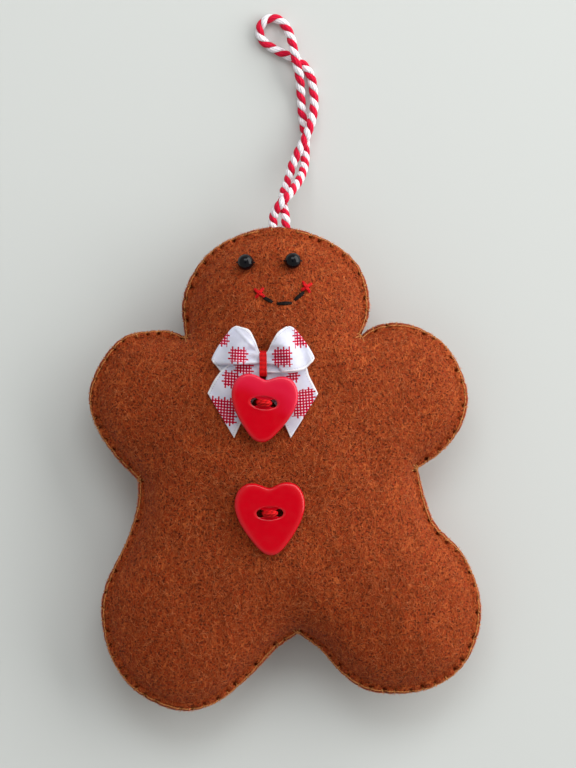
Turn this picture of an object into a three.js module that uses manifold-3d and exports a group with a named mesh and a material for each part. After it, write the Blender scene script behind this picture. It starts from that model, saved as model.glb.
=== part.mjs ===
// A stuffed felt gingerbread man ornament with a cord loop, lying on its back.
// Millimetres, +Z up, the head towards +Y. The origin is on the surface, under the middle of the figure.

import * as THREE from 'three';
import { mergeVertices } from 'three/addons/utils/BufferGeometryUtils.js';
import Module from 'manifold-3d';

const wasm = await Module();
wasm.setup();

// Figure: two felt shapes sewn together round the edge
const figureWidth = 98;
const figureLength = 121;
const feltThickness = 1.2;
const seamAllowance = 2; // flat rim of both shapes, outside the stitches
const frontCrown = 14; // rise of the front over its rim
const backCrown = 11;
const flatDepth = 0.5; // how much of the back is pressed flat by the surface it lies on
const clearance = 0.3; // between neighbours that touch

// The outline as five smooth stretches between sharp corners, in shares of the figure's width and length
const outlineShares = [
  // head, from the right side of the neck over the top to the left side
  [[0.194, 0.275], [0.214, 0.316], [0.212, 0.37], [0.186, 0.421], [0.135, 0.459], [0.059, 0.488],
    [-0.026, 0.499], [-0.115, 0.483], [-0.191, 0.448], [-0.242, 0.393], [-0.263, 0.337], [-0.255, 0.273]],
  // left arm, down to the armpit
  [[-0.255, 0.273], [-0.293, 0.284], [-0.339, 0.285], [-0.413, 0.271], [-0.469, 0.221], [-0.5, 0.153],
    [-0.485, 0.091], [-0.434, 0.025], [-0.375, -0.025]],
  // left side and leg, to the crotch
  [[-0.375, -0.025], [-0.376, -0.07], [-0.403, -0.147], [-0.457, -0.238], [-0.469, -0.295], [-0.446, -0.386],
    [-0.383, -0.459], [-0.268, -0.501], [-0.179, -0.486], [-0.082, -0.424], [-0.023, -0.374], [0.033, -0.341]],
  // right leg and side, to the armpit
  [[0.033, -0.341], [0.089, -0.374], [0.145, -0.424], [0.204, -0.457], [0.281, -0.466], [0.37, -0.455],
    [0.452, -0.411], [0.495, -0.337], [0.497, -0.262], [0.454, -0.176], [0.383, -0.112], [0.357, -0.058],
    [0.339, 0]],
  // right arm, up to the neck
  [[0.339, 0], [0.395, 0.031], [0.449, 0.085], [0.467, 0.147], [0.446, 0.209], [0.403, 0.26],
    [0.332, 0.294], [0.268, 0.301], [0.222, 0.291], [0.194, 0.275]],
];
const stretchSteps = [17, 14, 20, 20, 13]; // facets along each stretch
const torsoShare = [0, -0.023]; // the point that every part of the outline can be seen from
const closeEnoughShare = 0.0001; // of the way from the torso to the edge

// The crown of the pillow
const crownPowerShare = 0.55; // 1 is a tent, towards 0 is a box
const rimDepth = 2.5; // from the stitches to where the filling begins
const ringShares = [0.9, 0.76, 0.56, 0.31]; // further rings, in shares of the way out to the filling's rim
const feltWallShares = [1, 1, 1.6, 1.3, 1.1, 1, 1, 1]; // the felt's height on each ring, more where steep

// Stitches round the edge
const seamThreadRadius = 0.4;
const seamThreadGap = 0.5; // from the felts' edge, so that it stays clear in the notches
const seamThreadSteps = 118;

// Hanging loop: one cord whose two ends are knotted inside the head
const cordRadius = 1.15;
const cordSpacing = 3.75; // between the ends, where they leave the seam
const cordMiddleShare = -0.014; // of the figure's width
const cordPinchedWidth = 2.9; // the cord is pressed flat between the felts
const cordPinchedHeight = 1.1;
const cordCollarLength = 0.6; // the round end outside the seam
const knotDepth = 8; // from the head's edge
const knotRadii = [3.6, 2.6, 2.4];
const cordSides = 8;
const cordSteps = 62;

// The free cord's route from the left end to the right end, lying as it fell
const cordRoute = [
  [-3.25, 62.75, 11.85], [-3.05, 64.6, 12.4], [-1.9, 66.5, 12.95], [0.2, 68.3, 12.4], [2.2, 70.3, 10.4],
  [3.8, 72.9, 7.3], [4.75, 75.8, 4.2], [5.1, 79.3, 1.8], [5.1, 83.5, 1.2], [4.65, 87.2, 1.2], [4.2, 91.25, 1.2],
  [3.95, 95.4, 1.6], [3.6, 99.1, 3.1], [2.9, 102.3, 3.9], [2.2, 105.4, 3.7], [1.5, 108.5, 2.3],
  [0.3, 111.4, 1.3], [-1.4, 113.2, 1.2], [-3.4, 113.7, 1.2], [-5.3, 112.9, 1.2], [-6.4, 111, 1.2],
  [-6.15, 108.9, 1.2], [-4.8, 107.2, 1.2], [-2.5, 105.8, 1.2], [0.1, 104.5, 1.2], [2.7, 103.2, 1.2],
  [5, 101.5, 1.2], [6.6, 98.6, 1.2], [7.2, 94.9, 1.2], [7.3, 91.25, 1.9], [6.7, 87.6, 3.4], [5.4, 83.8, 4.3],
  [3.5, 80.1, 4.5], [1.8, 76.2, 4.6], [0.8, 72.6, 5.2], [-0.1, 69.6, 6.6], [-0.35, 67.1, 8.6],
  [0.05, 64.9, 10.7], [0.5, 62.75, 11.85],
];

// Eyes: glass beads sewn on through their bores
const eyeShares = { left: [-0.0995, 0.4248], right: [0.0199, 0.4277] };
const beadRadius = 2;
const beadBore = 1;
const beadThreadRadius = 0.2;
const beadThreadSteps = 18;
const threadSides = 6;

// Mouth: three straight stitches and a cross-stitch at each end
const smileShares = {
  left: [[-0.049, 0.35], [-0.033, 0.3435]],
  centre: [[-0.0185, 0.3405], [0.0145, 0.341]],
  right: [[0.025, 0.3475], [0.0445, 0.3615]],
};
const cheekShares = { left: [-0.0645, 0.3635], right: [0.0535, 0.3765] };
const smileThreadRadius = 0.45;
const cheekThreadRadius = 0.4;
const cheekArm = 1.25; // from the middle of a cross-stitch to a corner
const strandSteps = 4;

// Bow: one ribbon folded into two loops and two tails, gathered by a wrapped thread
const bowShare = [-0.055, 0.217];
const ribbonWidth = 10.6;
const ribbonThickness = 0.45;
const ribbonWaist = 4; // its width where it is gathered
const wingBend = 3.4; // how gently a loop bends away from the knot
const tailBend = 4.8;
const wingReach = 12.1; // from the knot to the fold of each loop
const leftWingAngle = 142.5; // degrees
const rightWingAngle = 38.5;
const tailReach = 19;
const leftTailAngle = 246;
const rightTailAngle = 293;
const tailSlant = 7.2; // how much further the inner corner of a cut end reaches
const slantStartShare = 0.6; // of a loop's reach, where a tail begins to slant
const foldRadius = 0.8;
const wingLoft = 1.8; // how far a loop stands open
const gatherReach = 6; // how far from the knot the gathers spread
const crossingReach = 9.5; // how far from the knot the layers stay stacked
const tieWidth = 1.7;
const tieThickness = 0.5;
const ribbonStations = 7; // from the knot to the end of a loop or tail
const stationPowerShare = 1.4; // more than 1 sets the stations closer together near the knot
const ribbonLanes = 4; // across its width
const foldShares = [0.25, 0.5, 0.75]; // places round a loop's end

// Heart buttons
const upperHeart = { width: 16.4, length: 16.6, turn: -5 };
const upperHeartDrop = 0.7; // from the lower end of the bow's wrapped thread to the notch between the lobes
const upperHeartAside = 0.25; // to the right of the bow's knot
const lowerHeart = { width: 17.3, length: 17.9, turn: 2 };
const lowerHeartShare = [-0.037, -0.0895];
const heartThickness = 2.6;
const holeBore = 2;
const holeSpacing = 4.6;
const holeRise = 1.5; // above the middle of the heart
const dishWidth = 7.3; // the shallow oval round the holes
const dishLength = 3.4;
const dishDepth = 0.42;
const flossRadius = 0.62;
const flossArch = 0.25; // how much higher it stands in the middle than at the holes
const flossSides = 8;
const flossSteps = 16;
const heartSteps = 5; // facets along each curve of the outline
// the right half of the heart as curves from the notch to the tip, in shares of its width and length
const heartNotchShare = [0, 0.94];
const heartCurveShares = [
  [[0.07, 0.94], [0.13, 1], [0.25, 1]],
  [[0.4, 1], [0.5, 0.87], [0.5, 0.7]],
  [[0.5, 0.5], [0.33, 0.27], [0.2, 0.115]],
  [[0.12, 0.025], [0.06, 0], [0, 0]],
];
const heartWaistShare = 0.56;
const leanShare = 0.33; // how far from its middle, of its width, a button's tilt is judged
const liftShares = [0, 0.35, 0.7, 1]; // where a button is tested for resting on what is under it
// the button's section from its back to its face, in shares of the outline and of the thickness
const heartSectionShares = [
  [0.93, 0], [0.985, 0.1], [1, 0.27], [1, 0.5], [0.965, 0.72], [0.87, 0.87], [0.66, 0.95], [0.34, 0.99],
];

// Small helpers

function solid(geometry) {
  const bare = geometry.clone();
  bare.deleteAttribute('normal');
  bare.deleteAttribute('uv');
  const merged = mergeVertices(bare);
  return new wasm.Manifold(new wasm.Mesh({
    numProp: 3,
    vertProperties: new Float32Array(merged.attributes.position.array),
    triVerts: new Uint32Array(merged.index.array),
  }));
}

function geometryOf(manifold) {
  const mesh = manifold.getMesh();
  return surface(mesh.vertProperties, mesh.triVerts);
}

function surface(positions, indices) {
  const geometry = new THREE.BufferGeometry();
  geometry.setAttribute('position', new THREE.Float32BufferAttribute(positions, 3));
  geometry.setIndex([...indices]);
  geometry.computeVertexNormals();
  return geometry;
}

// A round or oval section with the given number of corners
function ovalSection(halfWidth, halfHeight, corners) {
  const path = new THREE.Path().absellipse(0, 0, halfWidth, halfHeight, 0, 2 * Math.PI);
  return new THREE.Shape(path.getPoints(corners / 2).slice(0, -1));
}

// A tube along a curve, as a section carried by it
function tube(points, radius, corners, steps) {
  const extrudePath = new THREE.CatmullRomCurve3(points);
  const section = ovalSection(radius, radius, corners);
  return new THREE.ExtrudeGeometry(section, { steps, bevelEnabled: false, extrudePath });
}

function onFigure(share) {
  return new THREE.Vector2(share[0] * figureWidth, share[1] * figureLength);
}

// Outline

function sampleOutline() {
  const points = [];
  outlineShares.forEach((stretch, index) => {
    const curve = new THREE.CatmullRomCurve3(stretch.map((share) => new THREE.Vector3(...onFigure(share), 0)));
    points.push(...curve.getSpacedPoints(stretchSteps[index]).slice(0, -1));
  });
  return points.map((point) => new THREE.Vector2(point.x, point.y));
}

const outline = sampleOutline();
const outlineBox = new THREE.Box2().setFromPoints(outline);
const outlineMiddle = outlineBox.getCenter(new THREE.Vector2());
outline.forEach((point) => point.sub(outlineMiddle));
const torso = onFigure(torsoShare);
const headTop = outlineBox.max.y - outlineMiddle.y;

// A smooth distance from the edge: twice the inverse of the mean value weights of the whole outline
function edgeDistance(x, y) {
  let weight = 0;
  outline.forEach((start, index) => {
    const end = outline[(index + 1) % outline.length];
    const [ax, ay, bx, by] = [start.x - x, start.y - y, end.x - x, end.y - y];
    const [startReach, endReach] = [Math.hypot(ax, ay), Math.hypot(bx, by)];
    const halfTangent = (startReach * endReach - ax * bx - ay * by) / (ax * by - ay * bx);
    weight += halfTangent * (1 / startReach + 1 / endReach);
  });
  return 2 / weight;
}

// Rings of points from the edge to the torso, shared by the felts and the filling

function shareAtDepth(point, depth) {
  let [near, far] = [1, 0.5];
  while (near - far > closeEnoughShare) {
    const middle = (near + far) / 2;
    const place = torso.clone().lerp(point, middle);
    if (edgeDistance(place.x, place.y) < depth) near = middle;
    else far = middle;
  }
  return near;
}

function ringPoints() {
  const rimShares = outline.map((point) => shareAtDepth(point, seamAllowance + rimDepth));
  return [
    outline.map((point) => point.clone()),
    outline.map((point) => torso.clone().lerp(point, shareAtDepth(point, seamAllowance))),
    outline.map((point, index) => torso.clone().lerp(point, rimShares[index])),
    ...ringShares.map((share) => outline.map((point, index) => (
      torso.clone().lerp(point, share * rimShares[index])))),
  ];
}

const rings = ringPoints();
const fillingRing = 2; // the first ring inside the stitches
const distances = rings.map((ring, index) => ring.map((point) => (
  index < fillingRing ? 0 : edgeDistance(point.x, point.y))));
const deepest = Math.max(edgeDistance(torso.x, torso.y), ...distances.flat()) - seamAllowance;
const rimRise = (rimDepth / deepest) ** crownPowerShare;

// The crown's rise from 0 to 1 at each point of a ring; the last entry of the table is the torso itself
function riseAt(distance, ring) {
  if (ring < fillingRing) return 0;
  return Math.max(rimRise, (Math.max(0, distance - seamAllowance) / deepest) ** crownPowerShare);
}

const rises = distances.map((ring, index) => ring.map((distance) => riseAt(distance, index)));
const torsoRise = riseAt(edgeDistance(torso.x, torso.y), rings.length);

// Heights: the seam is where the two rims meet
const seamHeight = backCrown + feltThickness + clearance / 2 - flatDepth;
const extraWall = (ring) => feltThickness * (feltWallShares[ring] - 1);
const frontInner = (rise, ring) => seamHeight + clearance / 2 + frontCrown * rise - extraWall(ring);
const frontOuter = (rise) => seamHeight + clearance / 2 + frontCrown * rise + feltThickness;
const backInner = (rise, ring) => seamHeight - clearance / 2 - backCrown * rise + extraWall(ring);
const backOuter = (rise) => Math.max(0, seamHeight - clearance / 2 - backCrown * rise - feltThickness);

// A closed body between an upper and a lower surface over the rings from firstRing inwards
function quilt(firstRing, upper, lower) {
  const count = outline.length;
  const positions = [];
  const indices = [];
  const used = rings.slice(firstRing);
  [upper, lower].forEach((height) => {
    used.forEach((ring, step) => ring.forEach((point, index) => {
      positions.push(point.x, point.y, height(rises[firstRing + step][index], firstRing + step));
    }));
    positions.push(torso.x, torso.y, height(torsoRise, rings.length));
  });
  const sheet = used.length * count + 1;
  const at = (side, step, index) => side * sheet + step * count + (index % count);
  const middle = (side) => side * sheet + used.length * count;
  const triangle = (side, a, b, c) => indices.push(...(side === 0 ? [a, b, c] : [a, c, b]));
  for (let index = 0; index < count; index += 1) {
    for (const side of [0, 1]) {
      for (let step = 0; step + 1 < used.length; step += 1) {
        triangle(side, at(side, step, index), at(side, step, index + 1), at(side, step + 1, index + 1));
        triangle(side, at(side, step, index), at(side, step + 1, index + 1), at(side, step + 1, index));
      }
      triangle(side, at(side, used.length - 1, index), at(side, used.length - 1, index + 1), middle(side));
    }
    indices.push(at(1, 0, index), at(1, 0, index + 1), at(0, 0, index + 1));
    indices.push(at(1, 0, index), at(0, 0, index + 1), at(0, 0, index));
  }
  return surface(positions, indices);
}

// Height of the front felt's outer surface over a point, on the facet that holds it
function heightInFacet(a, b, c, x, y) {
  const area = (b.x - a.x) * (c.y - a.y) - (c.x - a.x) * (b.y - a.y);
  const shareB = ((x - a.x) * (c.y - a.y) - (c.x - a.x) * (y - a.y)) / area;
  const shareC = ((b.x - a.x) * (y - a.y) - (x - a.x) * (b.y - a.y)) / area;
  if (shareB < 0 || shareC < 0 || shareB + shareC > 1) return null;
  return a.z + shareB * (b.z - a.z) + shareC * (c.z - a.z);
}

const frontVertices = rings.map((ring, step) => ring.map((point, index) => (
  new THREE.Vector3(point.x, point.y, frontOuter(rises[step][index])))));
frontVertices.push(outline.map(() => new THREE.Vector3(torso.x, torso.y, frontOuter(torsoRise))));

function feltTop(x, y) {
  for (let step = 0; step + 1 < frontVertices.length; step += 1) {
    for (let index = 0; index < outline.length; index += 1) {
      const next = (index + 1) % outline.length;
      const [a, b] = [frontVertices[step][index], frontVertices[step][next]];
      const [c, d] = [frontVertices[step + 1][next], frontVertices[step + 1][index]];
      const height = heightInFacet(a, b, c, x, y) ?? heightInFacet(a, c, d, x, y);
      if (height !== null && Number.isFinite(height)) return height;
    }
  }
  return seamHeight;
}

// Cord ends: a knot inside the head, two flattened lengths through the seam, and two round ends outside it

const cordMiddle = cordMiddleShare * figureWidth;
const cordEnds = [cordMiddle - cordSpacing / 2, cordMiddle + cordSpacing / 2];
const collarStart = headTop + clearance;
const collarEnd = collarStart + cordCollarLength;
const loopAxis = collarEnd + clearance + cordRadius; // y of the line that the loop turns about
const knotPlace = headTop - knotDepth;

function barAlongY(x, halfWidth, halfHeight, from, to) {
  const section = ovalSection(halfWidth, halfHeight, cordSides);
  const bar = new THREE.ExtrudeGeometry(section, { depth: to - from, bevelEnabled: false });
  return bar.rotateX(-Math.PI / 2).rotateY(Math.PI).translate(x, from, seamHeight);
}

function knotEllipsoid(spare) {
  return new THREE.SphereGeometry(1, 12, 8)
    .scale(...knotRadii.map((radius) => radius + spare))
    .translate(cordMiddle, knotPlace, seamHeight);
}

function knotAndEnds() {
  const half = [cordPinchedWidth / 2, cordPinchedHeight / 2];
  return cordEnds.reduce((body, x) => body
    .add(solid(barAlongY(x, ...half, knotPlace, collarEnd)))
    .add(solid(barAlongY(x, cordRadius, cordRadius, collarStart, collarEnd))), solid(knotEllipsoid(0)));
}

// The room that the knot and the ends need in the felts and the filling
function knotRoom() {
  const half = [cordPinchedWidth / 2 + clearance, cordPinchedHeight / 2 + clearance];
  return cordEnds.reduce((body, x) => body
    .add(solid(barAlongY(x, ...half, knotPlace, collarEnd))), solid(knotEllipsoid(clearance)));
}

function hangingLoop() {
  const points = cordRoute.map((point) => new THREE.Vector3(...point));
  const lift = seamHeight - points[0].z;
  points[0].set(cordEnds[0], loopAxis, points[0].z + lift);
  points.at(-1).set(cordEnds[1], loopAxis, points.at(-1).z + lift);
  const rope = solid(tube(points, cordRadius, cordSides, cordSteps));
  const roundEnd = (end) => solid(new THREE.SphereGeometry(cordRadius, cordSides, cordSides)
    .rotateX(Math.PI / 2).translate(...end));
  return geometryOf(rope.add(roundEnd(points[0])).add(roundEnd(points.at(-1))));
}

// Edge stitches: one thread round the rim, from one side of the cord ends to the other

function seamThreadPath() {
  const reach = seamThreadGap + seamThreadRadius;
  const count = outline.length;
  const path = outline.map((point, index) => {
    const before = point.clone().sub(outline[(index + count - 1) % count]).normalize();
    const after = outline[(index + 1) % count].clone().sub(point).normalize();
    const [normalBefore, normalAfter] = [before, after].map((side) => new THREE.Vector2(side.y, -side.x));
    const mitre = normalBefore.clone().add(normalAfter).divideScalar(1 + normalBefore.dot(normalAfter));
    return point.clone().addScaledVector(mitre, reach);
  });
  const gap = cordSpacing / 2 + Math.max(cordRadius, cordPinchedWidth / 2) + clearance + seamThreadRadius;
  const isClear = (point) => point.y < torso.y || Math.abs(point.x - cordMiddle) > gap;
  const firstDropped = path.findIndex((point) => !isClear(point));
  const ordered = [...path.slice(firstDropped), ...path.slice(0, firstDropped)].filter(isClear);
  const top = headTop + reach;
  ordered.unshift(new THREE.Vector2(cordMiddle - gap, top));
  ordered.push(new THREE.Vector2(cordMiddle + gap, top));
  return ordered.map((point) => new THREE.Vector3(point.x, point.y, seamHeight));
}

// Things sewn onto the face

function strandOnFelt(from, to, radius) {
  const lift = clearance + radius;
  const points = [0, 0.5, 1].map((share) => {
    const place = onFigure(from).lerp(onFigure(to), share);
    return new THREE.Vector3(place.x, place.y, feltTop(place.x, place.y) + lift);
  });
  return tube(points, radius, threadSides, strandSteps);
}

function crossStitch(share) {
  const middle = onFigure(share);
  const reach = cheekArm * Math.SQRT1_2;
  const corner = (signX, signY) => [
    (middle.x + signX * reach) / figureWidth, (middle.y + signY * reach) / figureLength];
  const strands = [[corner(-1, -1), corner(1, 1)], [corner(-1, 1), corner(1, -1)]];
  const [first, second] = strands.map(([from, to]) => solid(strandOnFelt(from, to, cheekThreadRadius)));
  return geometryOf(first.add(second));
}

function beadCentre(share) {
  const place = onFigure(share);
  return new THREE.Vector3(place.x, place.y, feltTop(place.x, place.y) + 2 * clearance + beadRadius);
}

function bead() {
  const boreRadius = beadBore / 2;
  const mouth = Math.asin(boreRadius / beadRadius);
  const arc = [...Array(9).keys()].map((step) => {
    const angle = mouth + (step / 8) * (Math.PI - 2 * mouth);
    return new THREE.Vector2(beadRadius * Math.sin(angle), -beadRadius * Math.cos(angle));
  });
  return new THREE.LatheGeometry([...arc, arc[0].clone()], 18).rotateZ(Math.PI / 2);
}

// The thread that holds a bead: through its bore and down to the felt on both sides
function beadThread(share) {
  const centre = beadCentre(share);
  const outside = beadRadius + clearance + 2 * beadThreadRadius;
  const at = (x, z) => new THREE.Vector3(centre.x + x, centre.y, z);
  const footLift = clearance + beadThreadRadius;
  const foot = (side) => at(side * outside, feltTop(centre.x + side * outside, centre.y) + footLift);
  const shoulder = (side) => at(side * outside, centre.z - beadRadius / 2);
  const bore = [-beadRadius, 0, beadRadius].map((x) => at(x, centre.z));
  const points = [foot(-1), shoulder(-1), ...bore, shoulder(1), foot(1)];
  return tube(points, beadThreadRadius, threadSides, beadThreadSteps);
}

// Bow

const knot = onFigure(bowShare);
const layerStep = ribbonThickness + clearance;
const tieRoom = tieThickness + clearance; // under the ribbon, for the wrapped thread
const { smoothstep: smooth, degToRad } = THREE.MathUtils;
const direction = (degrees) => new THREE.Vector2(Math.cos(degToRad(degrees)), Math.sin(degToRad(degrees)));

// Heights of the ribbon's middle over the felt, by the distance from the knot; level inside the wrapped thread
const tieReach = Math.hypot(ribbonWaist, tieWidth) / 2 + clearance;
const beyondTie = (reach) => Math.max(0, reach - tieReach);
const baseHeight = (reach) => (
  clearance + ribbonThickness / 2 + tieRoom * Math.exp(-((beyondTie(reach) / gatherReach) ** 2)));
const secondHeight = (reach) => baseHeight(reach) + layerStep * (1 - smooth(reach, crossingReach, wingReach));
function topHeight(reach) {
  const along = Math.min(1, beyondTie(reach) / (wingReach - tieReach));
  const knotHeight = baseHeight(0) + 2 * layerStep;
  const foldHeight = baseHeight(wingReach) + 2 * foldRadius;
  const loft = wingLoft * Math.sin(Math.PI * along) ** 2;
  return THREE.MathUtils.lerp(knotHeight, foldHeight, smooth(along, 0, 1)) + loft;
}

// One run of ribbon in plan: each half leaves the knot along X and bends towards its own direction
function runPlace(inward, outward, along) {
  const towards = along < 0 ? inward : outward;
  const sign = Math.sign(towards.x);
  const reach = Math.abs(along);
  const bend = towards.y < 0 ? tailBend : wingBend;
  const straight = Math.exp(-reach / bend);
  const start = new THREE.Vector2(sign, 0);
  const place = knot.clone().addScaledVector(start, bend * (1 - straight))
    .addScaledVector(towards, reach - bend * (1 - straight));
  const heading = start.multiplyScalar(straight).addScaledVector(towards, 1 - straight).normalize();
  return { place, heading: along < 0 ? heading.negate() : heading };
}

function ribbonWidthAt(reach) {
  return ribbonWidth - (ribbonWidth - ribbonWaist) * Math.exp(-((reach / gatherReach) ** 2));
}

// Stations along a run; side is 1 where the ribbon's right side faces up and -1 where it is turned over
function run(inward, outward, start, end, side, height, slants) {
  return [...Array(2 * ribbonStations + 1).keys()].map((step) => {
    const share = step / ribbonStations - 1;
    const along = (share < 0 ? -start : end) * Math.abs(share) ** stationPowerShare;
    const { place, heading } = runPlace(inward, outward, along);
    const halfWidth = ribbonWidthAt(Math.abs(along)) / 2;
    const across = new THREE.Vector2(-heading.y, heading.x).multiplyScalar(side * halfWidth);
    const slantStart = slantStartShare * wingReach;
    const slant = slants[0] * smooth(-along, slantStart, start) + slants[1] * smooth(along, slantStart, end);
    return { place, heading, across, slant, height, outset: 0, normalOut: 0, normalUp: side };
  });
}

// The fold at a loop's end, half a turn between two heights, from the last station of the run before it
function fold(station, low, high, isRising) {
  const radius = (high - low) / 2;
  return foldShares.map((share) => {
    const angle = Math.PI * (isRising ? share : 1 - share);
    const height = () => low + radius * (1 - Math.cos(angle));
    const normal = { normalOut: -Math.sin(angle), normalUp: Math.cos(angle) };
    return { ...station, height, outset: radius * Math.sin(angle), ...normal };
  });
}

function bowStations() {
  const [leftWing, rightWing] = [direction(leftWingAngle), direction(rightWingAngle)];
  const [leftTail, rightTail] = [direction(leftTailAngle), direction(rightTailAngle)];
  const lower = run(leftTail, rightWing, tailReach, wingReach, 1, baseHeight, [tailSlant / 2, 0]);
  const upper = run(rightWing, leftWing, wingReach, wingReach, -1, topHeight, [0, 0]);
  const middle = run(leftWing, rightTail, wingReach, tailReach, 1, secondHeight, [0, -tailSlant / 2]);
  const top = topHeight(wingReach);
  return [...lower, ...fold(lower.at(-1), baseHeight(wingReach), top, true), ...upper,
    ...fold(upper.at(-1), secondHeight(wingReach), top, false), ...middle];
}

function ribbonPoint(station, sideShare, offset) {
  const foot = station.place.clone().addScaledVector(station.across, sideShare)
    .addScaledVector(station.heading, sideShare * station.slant);
  const height = feltTop(foot.x, foot.y) + station.height(foot.distanceTo(knot)) + station.normalUp * offset;
  foot.addScaledVector(station.heading, station.outset + station.normalOut * offset);
  return [foot.x, foot.y, height];
}

function ribbon() {
  const stations = bowStations();
  const lanes = ribbonLanes + 1;
  const positions = stations.flatMap((station) => [1, -1].flatMap((face) => (
    [...Array(lanes).keys()].flatMap((lane) => (
      ribbonPoint(station, (2 * lane) / ribbonLanes - 1, (face * ribbonThickness) / 2))))));
  const indices = [];
  const around = [...Array(lanes).keys(), ...[...Array(lanes).keys()].reverse().map((lane) => lane + lanes)];
  const at = (station, corner) => station * 2 * lanes + around[corner % (2 * lanes)];
  const quad = (a, b, c, d) => indices.push(a, c, b, a, d, c);
  for (let station = 0; station + 1 < stations.length; station += 1) {
    for (let corner = 0; corner < 2 * lanes; corner += 1) {
      quad(at(station, corner), at(station, corner + 1), at(station + 1, corner + 1), at(station + 1, corner));
    }
  }
  const end = (stations.length - 1) * 2 * lanes;
  for (let lane = 0; lane < ribbonLanes; lane += 1) {
    quad(lane, lanes + lane, lanes + lane + 1, lane + 1);
    quad(end + lane, end + lane + 1, end + lanes + lane + 1, end + lanes + lane);
  }
  return surface(positions, indices);
}

// The thread wrapped round the gathered ribbon, as a flat band
const innerHalfLength = ribbonWaist / 2 + 3 * clearance;

function bowTie() {
  const innerBottom = baseHeight(0) - ribbonThickness / 2 - clearance;
  const innerTop = baseHeight(0) + 2 * layerStep + ribbonThickness / 2 + clearance;
  const halfHeight = (innerTop - innerBottom) / 2;
  const roundedBox = (spare) => {
    const path = new THREE.Path();
    const [x, y] = [innerHalfLength - tieThickness, halfHeight - tieThickness];
    [[1, -1], [1, 1], [-1, 1], [-1, -1]].forEach(([signX, signY], quarter) => path.absarc(
      signX * x, signY * y, tieThickness + spare, ((quarter - 1) * Math.PI) / 2, (quarter * Math.PI) / 2));
    return path.getPoints(3);
  };
  const section = new THREE.Shape(roundedBox(tieThickness));
  section.holes.push(new THREE.Path(roundedBox(0)));
  const band = new THREE.ExtrudeGeometry(section, { depth: tieWidth, bevelEnabled: false });
  const slope = (feltTop(knot.x, knot.y + innerHalfLength) - feltTop(knot.x, knot.y - innerHalfLength))
    / (2 * innerHalfLength);
  const shear = new THREE.Matrix4().set(1, 0, 0, 0, 0, 1, 0, 0, 0, slope, 1, 0, 0, 0, 0, 1);
  return band.translate(0, (innerTop + innerBottom) / 2, -tieWidth / 2)
    .rotateX(Math.PI / 2).rotateZ(Math.PI / 2).applyMatrix4(shear)
    .translate(knot.x, knot.y, feltTop(knot.x, knot.y));
}

// Heart buttons

function heartOutline() {
  const shape = new THREE.Path();
  shape.moveTo(...heartNotchShare);
  heartCurveShares.forEach((points) => shape.bezierCurveTo(...points.flat()));
  const right = shape.getPoints(heartSteps);
  const left = right.slice(1, -1).reverse().map((point) => new THREE.Vector2(-point.x, point.y));
  return [...right, ...left].reverse();
}

function heartBlank({ width, length }) {
  const edge = heartOutline().map((point) => (
    new THREE.Vector2(point.x * width, (point.y - heartWaistShare) * length)));
  const positions = [0, 0, 0];
  heartSectionShares.forEach(([share, level]) => edge.forEach((point) => {
    positions.push(point.x * share, point.y * share, level * heartThickness);
  }));
  positions.push(0, 0, heartThickness);
  const last = positions.length / 3 - 1;
  const indices = [];
  edge.forEach((point, index) => {
    const next = (index + 1) % edge.length;
    indices.push(0, 1 + next, 1 + index);
    for (let step = 0; step + 1 < heartSectionShares.length; step += 1) {
      const [low, high] = [1 + step * edge.length, 1 + (step + 1) * edge.length];
      indices.push(low + index, low + next, high + next, low + index, high + next, high + index);
    }
    const top = 1 + (heartSectionShares.length - 1) * edge.length;
    indices.push(top + index, top + next, last);
  });
  return surface(positions, indices);
}

const holeHeight = (length) => (0.5 - heartWaistShare) * length + holeRise;

function heartButton(heart) {
  const rise = holeHeight(heart.length);
  const dish = new THREE.SphereGeometry(1, 20, 12).scale(dishWidth / 2, dishLength / 2, 2 * dishDepth)
    .translate(0, rise, heartThickness + dishDepth);
  return geometryOf([-1, 1].reduce((body, side) => {
    const drill = new THREE.CylinderGeometry(holeBore / 2, holeBore / 2, 3 * heartThickness, 12);
    return body.subtract(solid(drill.rotateX(Math.PI / 2).translate((side * holeSpacing) / 2, rise, 0)));
  }, solid(heartBlank(heart)).subtract(solid(dish))));
}

// The floss through a button: up one hole, over the face and down the other
function buttonFloss(heart) {
  const rise = holeHeight(heart.length);
  const reach = holeSpacing / 2;
  const over = heartThickness + clearance + flossRadius;
  const point = (x, z) => new THREE.Vector3(x, rise, z);
  return tube([point(-reach, 0), point(-reach, heartThickness / 2), point(-reach, heartThickness - dishDepth),
    point(-reach + flossRadius, over), point(0, over + flossArch), point(reach - flossRadius, over),
    point(reach, heartThickness - dishDepth), point(reach, heartThickness / 2), point(reach, 0)],
  flossRadius, flossSides, flossSteps);
}

// Where a button rests: a plane over the felt and whatever lies on it, tilted to both ends of the heart
function seat(heart, middle, support) {
  const turn = degToRad(heart.turn);
  const place = (x, y) => new THREE.Vector2(x, y).rotateAround(new THREE.Vector2(), turn).add(middle);
  const half = heart.length / 2;
  const heightAt = (x, y) => {
    const foot = place(x, y);
    return support(foot.x, foot.y);
  };
  const slope = (heightAt(0, half) - heightAt(0, -half)) / heart.length;
  const aside = leanShare * heart.width;
  const lean = (heightAt(aside, 0) - heightAt(-aside, 0)) / (2 * aside);
  const lifts = heartOutline().flatMap((point) => liftShares.map((share) => {
    const x = point.x * heart.width * share;
    const y = (point.y - heartWaistShare) * heart.length * share;
    return heightAt(x, y) - slope * y - lean * x;
  }));
  const group = new THREE.Group();
  group.position.set(middle.x, middle.y, Math.max(...lifts) + clearance / Math.cos(Math.atan(slope)));
  group.rotation.set(Math.atan(slope), -Math.atan(lean), turn, 'ZXY');
  return group;
}

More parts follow.
